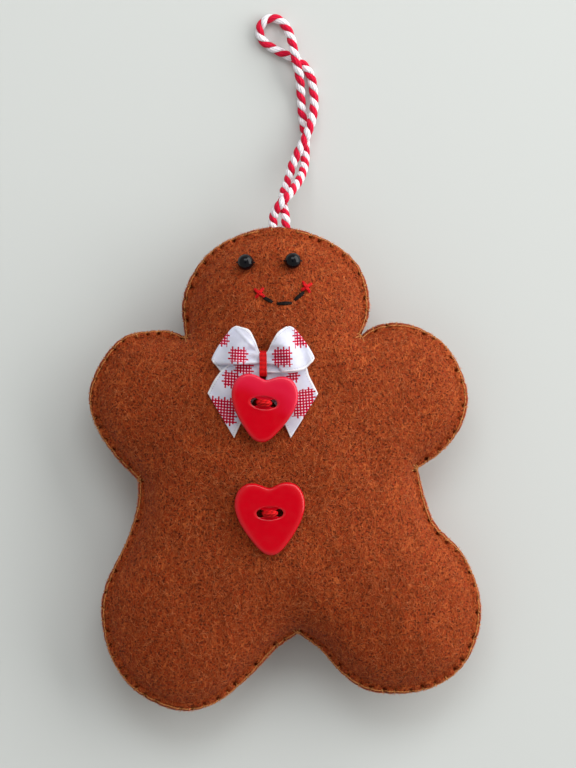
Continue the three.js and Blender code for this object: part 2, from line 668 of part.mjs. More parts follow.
// What the upper heart rests on: the felt and the tails of the bow
function bowAndFeltTop(x, y) {
  const reach = knot.distanceTo(new THREE.Vector2(x, y));
  const overTail = 1 - smooth(reach, tailReach - clearance, tailReach + tailSlant / 2);
  return feltTop(x, y) + (secondHeight(reach) + ribbonThickness / 2) * overTail;
}

// The upper button hangs just under the bow's wrapped thread, whatever their sizes
const notchRise = (heartNotchShare[1] - heartWaistShare) * upperHeart.length;
const upperMiddle = new THREE.Vector2(knot.x + upperHeartAside,
  knot.y - innerHalfLength - tieThickness - upperHeartDrop - notchRise);
const lowerMiddle = onFigure(lowerHeartShare);

// Materials

const finish = (color, roughness) => new THREE.MeshStandardMaterial({ color, roughness, metalness: 0 });
const felt = finish(0x8f4420, 0.95);
const filling = finish(0xf0ede4, 1);
const edgeFloss = finish(0x8a6230, 0.6);
const cordYarn = finish(0xd8304a, 0.8);
const blackGlass = finish(0x07080a, 0.12);
const blackFloss = finish(0x14110f, 0.7);
const redFloss = finish(0xc8141c, 0.55);
const whiteRibbon = finish(0xf1eef2, 0.6);
const redResin = finish(0xb3121c, 0.22);

// Assembly

const ornament = new THREE.Group();

function add(name, geometry, material, parent = ornament) {
  const mesh = new THREE.Mesh(geometry, material);
  mesh.name = name;
  parent.add(mesh);
}

const room = knotRoom();
add('front_felt', geometryOf(solid(quilt(0, frontOuter, frontInner)).subtract(room)), felt);
add('back_felt', geometryOf(solid(quilt(0, backInner, backOuter)).subtract(room)), felt);
const fillingTop = (rise, ring) => frontInner(rise, ring) - clearance;
const fillingBottom = (rise, ring) => backInner(rise, ring) + clearance;
add('stuffing', geometryOf(solid(quilt(fillingRing, fillingTop, fillingBottom)).subtract(room)), filling);
add('seam_thread', tube(seamThreadPath(), seamThreadRadius, threadSides, seamThreadSteps), edgeFloss);
add('cord_knot', geometryOf(knotAndEnds()), cordYarn);
add('hanging_loop', hangingLoop(), cordYarn);

for (const [side, share] of Object.entries(eyeShares)) {
  const holder = new THREE.Group();
  holder.position.copy(beadCentre(share));
  ornament.add(holder);
  add(`eye_bead_${side}`, bead(), blackGlass, holder);
  add(`eye_thread_${side}`, beadThread(share), blackFloss);
}
for (const [side, [from, to]] of Object.entries(smileShares)) {
  add(`smile_stitch_${side}`, strandOnFelt(from, to, smileThreadRadius), blackFloss);
}
for (const [side, share] of Object.entries(cheekShares)) {
  add(`cheek_stitch_${side}`, crossStitch(share), redFloss);
}

add('bow_ribbon', ribbon(), whiteRibbon);
add('bow_tie_thread', bowTie(), redFloss);

const seats = [['upper', upperHeart, upperMiddle, bowAndFeltTop], ['lower', lowerHeart, lowerMiddle, feltTop]];
for (const [name, heart, middle, support] of seats) {
  const holder = seat(heart, middle, support);
  ornament.add(holder);
  add(`heart_button_${name}`, heartButton(heart), redResin, holder);
  add(`button_thread_${name}`, buttonFloss(heart), redFloss, holder);
}

export default ornament;
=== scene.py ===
import bpy
import math
import numpy as np
from mathutils import Euler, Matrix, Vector


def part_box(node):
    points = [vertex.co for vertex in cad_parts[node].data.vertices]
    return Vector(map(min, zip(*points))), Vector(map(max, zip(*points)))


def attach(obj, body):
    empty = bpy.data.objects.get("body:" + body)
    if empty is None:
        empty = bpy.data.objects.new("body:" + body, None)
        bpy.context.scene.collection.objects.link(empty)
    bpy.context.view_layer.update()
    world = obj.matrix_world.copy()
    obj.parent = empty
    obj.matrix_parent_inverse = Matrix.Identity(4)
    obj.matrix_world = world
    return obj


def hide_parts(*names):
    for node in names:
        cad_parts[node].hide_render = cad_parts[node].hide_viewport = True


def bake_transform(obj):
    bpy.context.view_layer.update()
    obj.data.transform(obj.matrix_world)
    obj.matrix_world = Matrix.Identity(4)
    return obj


# Stuffed felt gingerbread man, seen from straight above. Shapes are in millimetres, with the head towards +Y.
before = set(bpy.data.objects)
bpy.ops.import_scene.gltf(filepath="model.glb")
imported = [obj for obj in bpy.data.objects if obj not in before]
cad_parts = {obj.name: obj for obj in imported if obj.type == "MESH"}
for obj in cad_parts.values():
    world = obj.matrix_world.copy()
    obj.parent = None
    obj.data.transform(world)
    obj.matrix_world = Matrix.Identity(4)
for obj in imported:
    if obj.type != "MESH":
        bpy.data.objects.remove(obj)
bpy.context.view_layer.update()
dice = np.random.default_rng(12)


def unit(vectors):
    return vectors / np.maximum(np.linalg.norm(vectors, axis=-1, keepdims=True), 1e-9)


def softStep(value, low, high):
    # 0 below low, 1 above high, 3t^2 - 2t^3 between
    t = np.clip((value - low) / (high - low), 0, 1)
    return t * t * (3 - 2 * t)


def bell(distance, width):
    return np.exp(-(distance / width) ** 2)


def direction(degrees):
    return np.array([math.cos(math.radians(degrees)), math.sin(math.radians(degrees))])


def lumps(x, y, wavelength, seed):
    # plane waves in seeded directions, summed to about -1 to 1
    count = 14
    throw = np.random.default_rng(seed)
    angle, phase = throw.uniform(0, 2 * np.pi, (2, count))
    wave = 2 * np.pi / (wavelength * throw.uniform(0.75, 1.5, count))
    waves = [np.sin(w * (np.cos(a) * x + np.sin(a) * y) + p) for a, p, w in zip(angle, phase, wave)]
    return sum(waves) / math.sqrt(count)


def runOf(line):
    # the length along a line at each of its points
    return np.concatenate([[0], np.cumsum(np.linalg.norm(np.diff(line, axis=0), axis=1))])


def smoothCurve(points, count):
    # centripetal Catmull-Rom through the points, then spaced evenly by length
    points = np.asarray(points, float)
    p = np.vstack([2 * points[0] - points[1], points, 2 * points[-1] - points[-2]])
    gap = np.sqrt(np.linalg.norm(np.diff(p, axis=0), axis=1))[:, None]
    a, b, c, d = p[:-3], p[1:-2], p[2:-1], p[3:]
    before, between, after = gap[:-2], gap[1:-1], gap[2:]
    leaving = ((b - a) / before - (c - a) / (before + between) + (c - b) / between) * between
    arriving = ((c - b) / between - (d - b) / (between + after) + (d - c) / after) * between
    t = np.linspace(0, 1, 60, endpoint=False)[:, None, None]
    square, cube = 3 * (c - b) - 2 * leaving - arriving, 2 * (b - c) + leaving + arriving
    fine = b + leaving * t + square * t ** 2 + cube * t ** 3
    fine = np.vstack([fine.transpose(1, 0, 2).reshape(-1, points.shape[1]), points[-1:]])
    run = runOf(fine)
    return np.stack([np.interp(np.linspace(0, run[-1], count), run, column) for column in fine.T], 1)


def gridFaces(rows, columns, wrap=True):
    # quads of a grid of points, and the grid place of each of their corners
    i, j = np.indices((rows - 1, columns if wrap else columns - 1)).reshape(2, -1)
    places = np.stack([i, j, i, j + 1, i + 1, j + 1, i + 1, j], 1).reshape(-1, 4, 2)
    return places[..., 0] * columns + places[..., 1] % columns, places


def fan(start, count, tip):
    # triangles from a ring of points to one point
    j = np.arange(count)
    return np.stack([start + j, start + (j + 1) % count, np.full(count, tip)], 1)


def band(first, second, count):
    # quads from one ring of points to another
    j = np.arange(count)
    k = (j + 1) % count
    return np.stack([first + j, first + k, second + k, second + j], 1)


def makePiece(name, shape, material, instead=None, body="figure"):
    # one mesh at the origin from whole arrays: the points in millimetres, sets of faces and their UVs
    points, faceSets, uvSets = shape
    mesh = bpy.data.meshes.new(name)
    corners = np.concatenate([faces.ravel() for faces in faceSets])
    sizes = np.concatenate([np.full(len(faces), faces.shape[1]) for faces in faceSets])
    mesh.vertices.add(len(points))
    mesh.vertices.foreach_set("co", (points * 0.001).astype(np.float32).ravel())
    mesh.loops.add(len(corners))
    mesh.loops.foreach_set("vertex_index", corners.astype(np.int32))
    mesh.polygons.add(len(sizes))
    mesh.polygons.foreach_set("loop_start", (np.cumsum(sizes) - sizes).astype(np.int32))
    mesh.polygons.foreach_set("use_smooth", np.ones(len(sizes), bool))
    mesh.update(calc_edges=True)
    if uvSets:
        layer = mesh.uv_layers.new(name="UVMap")
        layer.data.foreach_set("uv", np.concatenate([uv.ravel() for uv in uvSets]).astype(np.float32))
    mesh.materials.append(material)
    piece = bpy.data.objects.new(name, mesh)
    bpy.context.scene.collection.objects.link(piece)
    if instead:
        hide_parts(instead)
    if body:
        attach(piece, body)
    return piece


def strands(paths, radii, sides, up=(0, 0, 1)):
    # many tubes at once: point = path + radius * (cos t * side + sin t * lift), with both ends drawn to a point
    paths = np.asarray(paths, float)
    count, steps = paths.shape[:2]
    radii = np.broadcast_to(radii, (count, steps))
    tangent = unit(np.gradient(paths, axis=1))
    side = np.cross(up, tangent)
    weak = np.linalg.norm(side, axis=-1, keepdims=True) < 0.05
    side = unit(np.where(weak, np.cross((1.0, 0.2, 0.1), tangent), side))
    lift = np.cross(tangent, side)
    turn = np.arange(sides) / sides * 2 * np.pi
    ring = side[:, :, None] * np.cos(turn)[:, None] + lift[:, :, None] * np.sin(turn)[:, None]
    tube = (paths[:, :, None] + radii[:, :, None, None] * ring).reshape(count, steps * sides, 3)
    ends = [paths[:, end] + way * tangent[:, end] * radii[:, end, None] * 0.5 for end, way in ((0, -1), (-1, 1))]
    points = np.concatenate([tube, np.stack(ends, 1)], 1)
    quads, places = gridFaces(steps, sides)
    tip = steps * sides
    caps = np.concatenate([fan(0, sides, tip)[:, ::-1], fan(tip - sides, sides, tip + 1)])
    capPlaces = np.repeat([(row, j) for row in (0, steps - 1) for j in range(sides)], 3, 0).reshape(-1, 3, 2)
    offset = (np.arange(count) * (tip + 2))[:, None, None]
    run = np.array([runOf(path) for path in paths])
    # u is the share of a turn and v the millimetres along the strand
    uvs = [np.stack([np.broadcast_to(cells[..., 1] / sides, (count, *cells.shape[:2])), run[:, cells[..., 0]]], -1)
           for cells in (places, capPlaces)]
    return points.reshape(-1, 3), [(each + offset).reshape(-1, each.shape[1]) for each in (quads, caps)], uvs


def joined(parts):
    # several shapes as one
    points, faces, uvs, start = [], [], [], 0
    for somePoints, someFaces, someUvs in parts:
        points.append(somePoints)
        faces += [each + start for each in someFaces]
        uvs += someUvs
        start += len(somePoints)
    return np.concatenate(points), faces, uvs


class Wire:
    # one value in a material's nodes; arithmetic on it adds Math nodes
    def __init__(self, socket):
        self.socket = socket

    def __add__(self, other):
        return calc("ADD", self, other)

    def __sub__(self, other):
        return calc("SUBTRACT", self, other)

    def __rsub__(self, other):
        return calc("SUBTRACT", other, self)

    def __mul__(self, other):
        return calc("MULTIPLY", self, other)

    def __truediv__(self, other):
        return calc("DIVIDE", self, other)

    def __lt__(self, other):
        return calc("LESS_THAN", self, other)

    def __abs__(self):
        return calc("ABSOLUTE", self)


def newNode(kind, inputs, output=0, tree=None, **settings):
    # a node with its settings, and with plain values or wires in its inputs; gives the wire from one output
    tree = tree or next(value.socket.id_data for value in inputs.values() if isinstance(value, Wire))
    node = tree.nodes.new("ShaderNode" + kind)
    for key, value in settings.items():
        setattr(node, key, value)
    for key, value in inputs.items():
        if isinstance(value, Wire):
            tree.links.new(value.socket, node.inputs[key])
        else:
            node.inputs[key].default_value = value
    return Wire(node.outputs[output])


def calc(operation, *values):
    return newNode("Math", dict(enumerate(values)), operation=operation)


def spread(value, low, high, toLow=0.0, toHigh=1.0):
    # a smooth step from toLow at low to toHigh at high
    return newNode("MapRange", dict(enumerate((value, low, high, toLow, toHigh))), interpolation_type="SMOOTHSTEP")


def mixColour(share, first, second):
    first, second = ((*colour, 1) if isinstance(colour, tuple) else colour for colour in (first, second))
    return newNode("Mix", {0: share, 6: first, 7: second}, 2, data_type="RGBA")


def noise(vector, scale, detail=2.0, roughness=0.5):
    return newNode("TexNoise", dict(Vector=vector, Scale=scale, Detail=detail, Roughness=roughness))


def mapping(vector, place=(0, 0, 0), turn=(0, 0, 0), scale=(1, 1, 1)):
    return newNode("Mapping", dict(Vector=vector, Location=place, Rotation=turn, Scale=scale))


def scaled(vector, factor):
    return newNode("VectorMath", {0: vector, "Scale": factor}, operation="SCALE")


def split(vector):
    # its X, Y and Z
    return [Wire(output) for output in newNode("SeparateXYZ", {0: vector}).socket.node.outputs]


def coordinates(material, kind):
    return newNode("TexCoord", {}, kind, material.node_tree)


def millimetres(material):
    # Object coordinates, a unit for each millimetre
    return scaled(coordinates(material, "Object"), 1000.0)


def newFinish(name, colour, roughness, **sockets):
    material = bpy.data.materials.new(name)
    material.use_nodes = True
    shader = material.node_tree.nodes["Principled BSDF"]
    for key, value in dict(sockets, Base_Color=(*colour, 1), Roughness=roughness).items():
        shader.inputs[key.replace("_", " ")].default_value = value
    return material


def finished(material, colour=None, roughness=None, height=None, depth=0.1):
    # plugs wires into the shader; depth is the bump's, in millimetres
    normal = height and newNode("Bump", dict(Height=height, Distance=depth * 0.001))
    tree = material.node_tree
    for key, wire in (("Base Color", colour), ("Roughness", roughness), ("Normal", normal)):
        if wire:
            tree.links.new(wire.socket, tree.nodes["Principled BSDF"].inputs[key])
    return material


# the picture shows 192 mm from top to bottom at 12 mm above the table
view = dict(middle=(0.75, 21.25), height=1000.0, tall=192.0, level=12.0)
camera = bpy.data.objects.new("camera", bpy.data.cameras.new("camera"))
camera.data.sensor_fit, camera.data.sensor_height, camera.data.sensor_width = "VERTICAL", 24, 18
camera.data.lens = camera.data.sensor_height * (view["height"] - view["level"]) / view["tall"]
camera.data.clip_start, camera.data.clip_end = 0.05, 10
camera.location = [value * 0.001 for value in (*view["middle"], view["height"])]
bpy.context.scene.collection.objects.link(camera)
bpy.context.scene.camera = camera

# place, size, power and colour
lamps = dict(window=((0.88, 0.42, 0.40), (1.7, 0.9), 17.2, (1.0, 0.99, 0.98)),
             roofLight=((0.0, 0.72, 0.88), (0.8, 0.5), 3.9, (0.96, 0.98, 1.0)))
for name, (place, size, power, colour) in lamps.items():
    lamp = bpy.data.lights.new(name, "AREA")
    lamp.shape, lamp.energy, lamp.color = "RECTANGLE", power, colour
    lamp.size, lamp.size_y = size
    lampObject = bpy.data.objects.new(name, lamp)
    lampObject.location = place
    lampObject.rotation_euler = (Vector((0, 0.02, 0)) - Vector(place)).to_track_quat("-Z", "Y").to_euler()
    bpy.context.scene.collection.objects.link(lampObject)

# the room is dim straight above, where the camera is, so gloss stays deep
light = dict(sky=0.52, overhead=0.04, away=(-0.05, -0.10))
room = bpy.data.worlds.new("room")
room.use_nodes = True
sky = room.node_tree
upward = (*light["away"], math.sqrt(1 - light["away"][0] ** 2 - light["away"][1] ** 2))
seenWay = newNode("TexCoord", {}, "Generated", sky)
facing = newNode("VectorMath", {0: seenWay, 1: upward}, "Value", operation="DOT_PRODUCT")
brightness = spread(facing, 0.955, 0.995, light["sky"], light["overhead"])
sky.links.new(brightness.socket, sky.nodes["Background"].inputs["Strength"])
sky.nodes["Background"].inputs["Color"].default_value = (1.0, 0.97, 0.94, 1)
bpy.context.scene.world = room
bpy.context.scene.view_settings.view_transform = "Standard"

bpy.ops.mesh.primitive_plane_add(size=4, location=(0, 0, -0.0002))
floor = bpy.context.object
floor.name = "tabletop"
floor.data.materials.append(newFinish("tabletop", (0.62, 0.65, 0.635), 0.9))
print("view, light and floor set")

# the twisted cord comes first, because its route decides where everything lies
cord = dict(diameter=2.3, plyRadius=0.60, plyOffset=0.55, plyWidth=1.42, pitch=4.7, endPitch=3.3, sides=20, steps=560,
            yarns=6, yarnDepth=0.035, yarnPitch=3.1, exitX=-1.37)
# the middle of the cord from its left end in the seam, over the table and back to its right end
cordRoute = [
    (-2.95, 59.6, 11.85), (-2.9, 62.75, 11.85), (-2.45, 64.35, 12.4), (-1.25, 66.1, 12.95), (0.45, 67.95, 12.4),
    (2.2, 70.3, 10.4), (3.8, 72.9, 7.3), (4.75, 75.8, 4.2), (5.1, 79.3, 1.8), (5.1, 83.5, 1.2), (4.65, 87.2, 1.2),
    (4.2, 91.25, 1.2), (3.95, 95.4, 1.6), (3.6, 99.1, 3.1), (2.9, 102.3, 3.9), (2.2, 105.4, 3.7), (1.5, 108.5, 2.3),
    (0.3, 111.4, 1.3), (-1.4, 113.2, 1.2), (-3.4, 113.7, 1.2), (-5.3, 112.9, 1.2), (-6.4, 111, 1.2),
    (-6.15, 108.9, 1.2), (-4.8, 107.2, 1.2), (-2.5, 105.8, 1.2), (0.1, 104.5, 1.2), (2.7, 103.2, 1.2),
    (5, 101.5, 1.2), (6.6, 98.6, 1.2), (7.2, 94.9, 1.2), (7.3, 91.25, 1.9), (6.7, 87.6, 3.4), (5.4, 83.8, 4.3),
    (3.5, 80.1, 4.5), (1.8, 76.2, 4.6), (0.8, 72.6, 5.2), (-0.3, 69.5, 6.6), (-0.65, 66.9, 8.7),
    (-0.25, 64.7, 10.75), (0.15, 62.75, 11.85), (0.2, 59.6, 11.85)]


def cordFinish():
    # the white ply's UV starts at 2; the yarns of each ply are twisted against it
    material = newFinish("cottonTwist", (0.8, 0.8, 0.86), 0.75, Sheen_Weight=0.06, Sheen_Roughness=0.5,
                         Specular_IOR_Level=0.15)
    u, v, _ = split(coordinates(material, "UV"))
    phase = calc("FRACT", u) * cord["yarns"] + v / (-cord["yarnPitch"] / 2)
    groove = calc("POWER", abs(calc("COSINE", phase * math.pi)), 0.6)
    fuzz = noise(millimetres(material), 3.2, 3.0, 0.7)
    # painted shade: darker in the grooves between the yarns, times a random tone from the fuzz
    toneAndGrooveShade = spread(groove, 0.0, 0.8, 0.72, 1.0) * spread(fuzz, 0.2, 0.8, 0.86, 1.08)
    base = mixColour(calc("GREATER_THAN", u, 1.5), (0.68, 0.005, 0.040), (0.90, 0.88, 0.93))
    return finished(material, scaled(base, toneAndGrooveShade), height=groove + fuzz * 0.5, depth=0.12)


def pliedCord(path, steps):
    # two plies wound round the path: ply = path + offset * (cos a * side + sin a * lift), tighter near both ends
    line = smoothCurve(path, steps)
    run = runOf(line)
    tangent = unit(np.gradient(line, axis=0))
    side = unit(np.cross((0, 0, 1.0), tangent))
    lift = np.cross(tangent, side)
    pitch = np.interp(np.minimum(run, run[-1] - run), (8, 45), (cord["endPitch"], cord["pitch"]))
    wound = np.concatenate([[0], np.cumsum(np.diff(run) / pitch[1:])])[:, None]
    turns = np.arange(cord["sides"]) / cord["sides"]
    yarns = np.cos(2 * np.pi * (cord["yarns"] * turns - 2 * run[:, None] / cord["yarnPitch"]))
    plies = []
    for ply in (0, 1):
        angle = 0.6 + np.pi * ply - 2 * np.pi * wound
        centre = line + cord["plyOffset"] * (side * np.cos(angle) + lift * np.sin(angle))
        points, faces, uvs = strands(centre[None], cord["plyRadius"], cord["sides"])
        grid = points[:steps * cord["sides"]].reshape(steps, cord["sides"], 3)
        # the soft plies lie flat against each other
        across = (lift * np.cos(angle) - side * np.sin(angle))[:, None]
        spoke = (grid - centre[:, None]) * (1 + cord["yarnDepth"] * yarns)[..., None]
        grid[:] = centre[:, None] + spoke + (cord["plyWidth"] - 1) * (spoke * across).sum(-1, keepdims=True) * across
        for uv in uvs:
            uv[..., 0] += 2 * ply
        plies.append((points, faces, uvs))
    return joined(plies), line


twist = cordFinish()
cordShape, cordLine = pliedCord(cordRoute, cord["steps"])
cordPiece = makePiece("cord_twist", cordShape, twist, "hanging_loop", body=None)
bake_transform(cordPiece)
knotTurn = np.linspace(0, 2 * np.pi, 60)[4:-4]
knotMiddle = np.stack([cord["exitX"] + 1.5 * (np.sin(knotTurn) + 0.9 * np.sin(2 * knotTurn)),
                       52.4 + 1.4 * (np.cos(knotTurn) - 0.9 * np.cos(2 * knotTurn)),
                       11.85 - 1.2 * np.sin(3 * knotTurn)], 1)
knotPath = [(-2.95, 59.4, 11.85), (-2.95, 57.5, 11.85), *knotMiddle, (0.2, 57.5, 11.85), (0.2, 59.4, 11.85)]
knotPiece = makePiece("cord_knot_inside", pliedCord(knotPath, 240)[0], twist, "cord_knot")
(cordLine[::2] * 0.001).tolist() + [(cordLine[-1] * 0.001).tolist()]

# the felt figure: the crowns rise as a power of the depth from the edge, and start with a ramp
figure = dict(width=98.0, length=121.0, torso=(0.0, -0.023), thickness=1.2, seamIn=2.0, seamZ=11.85, gap=0.3,
              frontCrown=14.0, backCrown=11.0, deepest=13.83, power=0.55, ramp=2.5, rays=10)
# the outline as five smooth stretches between sharp corners, in shares of the figure's width and length
outlineShares = [
    [(0.194, 0.275), (0.214, 0.316), (0.212, 0.37), (0.186, 0.421), (0.135, 0.459), (0.059, 0.488),
     (-0.026, 0.499), (-0.115, 0.483), (-0.191, 0.448), (-0.242, 0.393), (-0.263, 0.337), (-0.255, 0.273)],
    [(-0.255, 0.273), (-0.293, 0.284), (-0.339, 0.285), (-0.413, 0.271), (-0.469, 0.221), (-0.5, 0.153),
     (-0.485, 0.091), (-0.434, 0.025), (-0.375, -0.025)],
    [(-0.375, -0.025), (-0.376, -0.07), (-0.403, -0.147), (-0.457, -0.238), (-0.469, -0.295), (-0.446, -0.386),
     (-0.383, -0.459), (-0.268, -0.501), (-0.179, -0.486), (-0.082, -0.424), (-0.023, -0.374), (0.033, -0.341)],
    [(0.033, -0.341), (0.089, -0.374), (0.145, -0.424), (0.204, -0.457), (0.281, -0.466), (0.37, -0.455),
     (0.452, -0.411), (0.495, -0.337), (0.497, -0.262), (0.454, -0.176), (0.383, -0.112), (0.357, -0.058), (0.339, 0)],
    [(0.339, 0), (0.395, 0.031), (0.449, 0.085), (0.467, 0.147), (0.446, 0.209), (0.403, 0.26),
     (0.332, 0.294), (0.268, 0.301), (0.222, 0.291), (0.194, 0.275)]]
stretchSteps = [17, 14, 20, 20, 13]
scale = np.array([figure["width"], figure["length"]])
outline = np.vstack([smoothCurve(np.array(stretch) * scale, steps * figure["rays"] + 1)[:-1]
                     for stretch, steps in zip(outlineShares, stretchSteps)])
outline -= (outline.max(0) + outline.min(0)) / 2
torso = np.array(figure["torso"]) * scale
rayCount = len(outline)
corners = (np.cumsum([0] + stretchSteps[:-1]) * figure["rays"]).tolist()
outlineRun = runOf(np.vstack([outline, outline[:1]]))
inward = unit(np.roll(outline, -1, 0) - np.roll(outline, 1, 0)) @ np.array([[0, 1.0], [-1.0, 0]])


def inParts(measure, points, size):
    # a measure of many points, a part of them at a time to save memory
    return np.concatenate([measure(points[start:start + size, None]) for start in range(0, len(points), size)])


def edgeDistance(p):
    # a smooth distance from the edge: twice the inverse of the mean value weights of the whole outline
    a = outline[::2]
    u, v = a - p, np.roll(a, -1, 0) - p
    ru, rv = np.linalg.norm(u, axis=-1), np.linalg.norm(v, axis=-1)
    cross = u[..., 0] * v[..., 1] - u[..., 1] * v[..., 0]
    weights = (ru * rv - (u * v).sum(-1)) / np.where(np.abs(cross) < 1e-9, 1e-9, cross) * (1 / ru + 1 / rv)
    return 2 / weights.sum(1)


def depthOf(places):
    return inParts(edgeDistance, places.reshape(-1, 2), 4000).reshape(-1, rayCount)


# rings at set depths near the edge, then at set shares of the way in to the torso
probeShares = 1 - np.linspace(0, 1, 70)[1:] ** 1.8 * 0.6
probeDepths = np.maximum.accumulate(depthOf(torso + probeShares[:, None, None] * (outline - torso)), 0)
edgeDepths = np.array([0, 0.12, 0.3, 0.5, 0.75, 1.0, 1.25, 1.5, 1.75, 2.0, 2.25, 2.5, 2.8, 3.15, 3.6, 4.1, 4.7])
edgeShares = np.array([np.interp(edgeDepths, np.r_[0, ray], np.r_[1, probeShares]) for ray in probeDepths.T]).T
innerShares = np.linspace(1, 0, 68)[1:] ** 0.92
ringShares = np.vstack([edgeShares, edgeShares[-1] * innerShares[:, None]])
rings = torso + ringShares[..., None] * (outline - torso)
depths = np.vstack([np.broadcast_to(edgeDepths[:, None], edgeShares.shape), depthOf(rings[len(edgeDepths):])])

# where each stitch round the edge goes in
stitch = dict(pitch=3.3, depth=1.0, notch=0.24, threadRadius=0.14, grooveWidth=0.42, grooveDepth=0.72, puff=0.95)
stitchRuns = []
for first, last in zip(corners, corners[1:] + [rayCount]):
    span = outlineRun[last] - outlineRun[first]
    count = round(span / stitch["pitch"])
    stitchRuns += list(outlineRun[first] + span * np.arange(count) / count)
stitchRuns = np.array(stitchRuns) + dice.uniform(-0.45, 0.45, len(stitchRuns))
stitchRuns[0] = 0


def onOutline(run, outset=0.0):
    # a point at that length along the outline, pushed out of it, and the way inwards there
    run = np.mod(run, outlineRun[-1])
    place, normal = (np.stack([np.interp(run, outlineRun, np.r_[column, column[0]]) for column in values.T], -1)
                     for values in (outline, inward))
    normal = unit(normal)
    return place - normal * np.asarray(outset)[..., None], normal


def atCord(points, reach):
    # near the place where the cord comes out of the head
    return (np.abs(points[:, 0] - cord["exitX"]) < reach) & (points[:, 1] > 55)


stitchFeet, stitchNormals = onOutline(stitchRuns)
stitchDepths = stitch["depth"] + dice.uniform(-0.3, 0.35, len(stitchRuns))
stitchHoles = stitchFeet + stitchNormals * stitchDepths[:, None]
stitchForce = dice.uniform(0.3, 0.95, len(stitchRuns))
stitchForce[atCord(stitchFeet, 3.6)] = 0.1


def stitchPull(p):
    # how hard the stitches press at a point, 0 to 1: a groove along each leg and a deeper dent at its hole
    leg = stitchHoles - stitchFeet
    t = np.clip(((p - stitchFeet) * leg).sum(-1) / (leg ** 2).sum(-1), 0, 1)
    off = np.linalg.norm(p - stitchFeet - t[..., None] * leg, axis=-1)
    hole = 0.62 * bell(np.linalg.norm(p - stitchHoles, axis=-1), 0.38)
    return ((bell(off, stitch["grooveWidth"]) * (0.45 + 0.55 * t ** 2) + hole) * stitchForce).max(1)


# each stitch draws the edge itself in a little
fromStitch = np.abs((outlineRun[:-1, None] - stitchRuns + outlineRun[-1] / 2) % outlineRun[-1] - outlineRun[-1] / 2)
notches = stitch["notch"] * (stitchForce * bell(fromStitch, 0.6)).max(1)
rings = rings + inward * (notches * np.clip(1 - depths / 2.5, 0, 1))[..., None]
ringX, ringY = rings[..., 0], rings[..., 1]
nearEdge = depths < 7
pull = np.zeros(depths.shape)
pull[nearEdge] = inParts(stitchPull, rings[nearEdge], 20000)
past = np.maximum(0, depths - figure["seamIn"] + 0.25) / figure["deepest"]
rise = past ** figure["power"] * np.tanh(past * figure["deepest"] / figure["ramp"] * 1.3) ** (1 - figure["power"])
roundEdge = np.sqrt(1 - np.clip(1 - depths / 0.7, 0, 1) ** 2)
rimPuff = stitch["puff"] * bell(depths - 1.35, 1.15) * (1 - pull)
pucker = 0.26 * np.maximum(0, 1 - pull * 1.2) * bell(depths - 3.2, 1.5)
fill = softStep(depths, 1.6, 6.0)
frontLumps = 0.34 * lumps(ringX, ringY, 24, 3) + 0.13 * lumps(ringX, ringY, 9, 4) + 0.05 * lumps(ringX, ringY, 3.6, 5)
backLumps = 0.18 * lumps(ringX, ringY, 22, 8) + 0.06 * lumps(ringX, ringY, 8, 9)
# places where something sewn on draws the felt in: x, y, reach, depth
drawnIn = [(-9.75, 51.4, 2.6, 0.55), (1.95, 51.75, 2.6, 0.55), (-4.9, 42.3, 1.4, 0.22), (-3.1, 41.5, 1.2, 0.2),
           (-1.8, 41.2, 1.2, 0.2), (1.5, 41.2, 1.2, 0.2), (2.5, 42.1, 1.2, 0.2), (4.5, 43.8, 1.4, 0.22),
           (-5.4, 26.2, 4.2, 0.8), (-5.14, 17.0, 5.0, 0.5), (-3.6, -10.2, 5.5, 0.55)]
dents = sum(depth * bell(np.hypot(ringX - x, ringY - y), reach) for x, y, reach, depth in drawnIn)
seamTop, seamBottom = figure["seamZ"] + figure["gap"] / 2, figure["seamZ"] - figure["gap"] / 2
edgeSwell = (figure["thickness"] + rimPuff - stitch["grooveDepth"] * pull) * roundEdge + pucker
frontZ = seamTop + edgeSwell + figure["frontCrown"] * rise + fill * frontLumps - dents
backZ = seamBottom - edgeSwell - figure["backCrown"] * rise - fill * backLumps


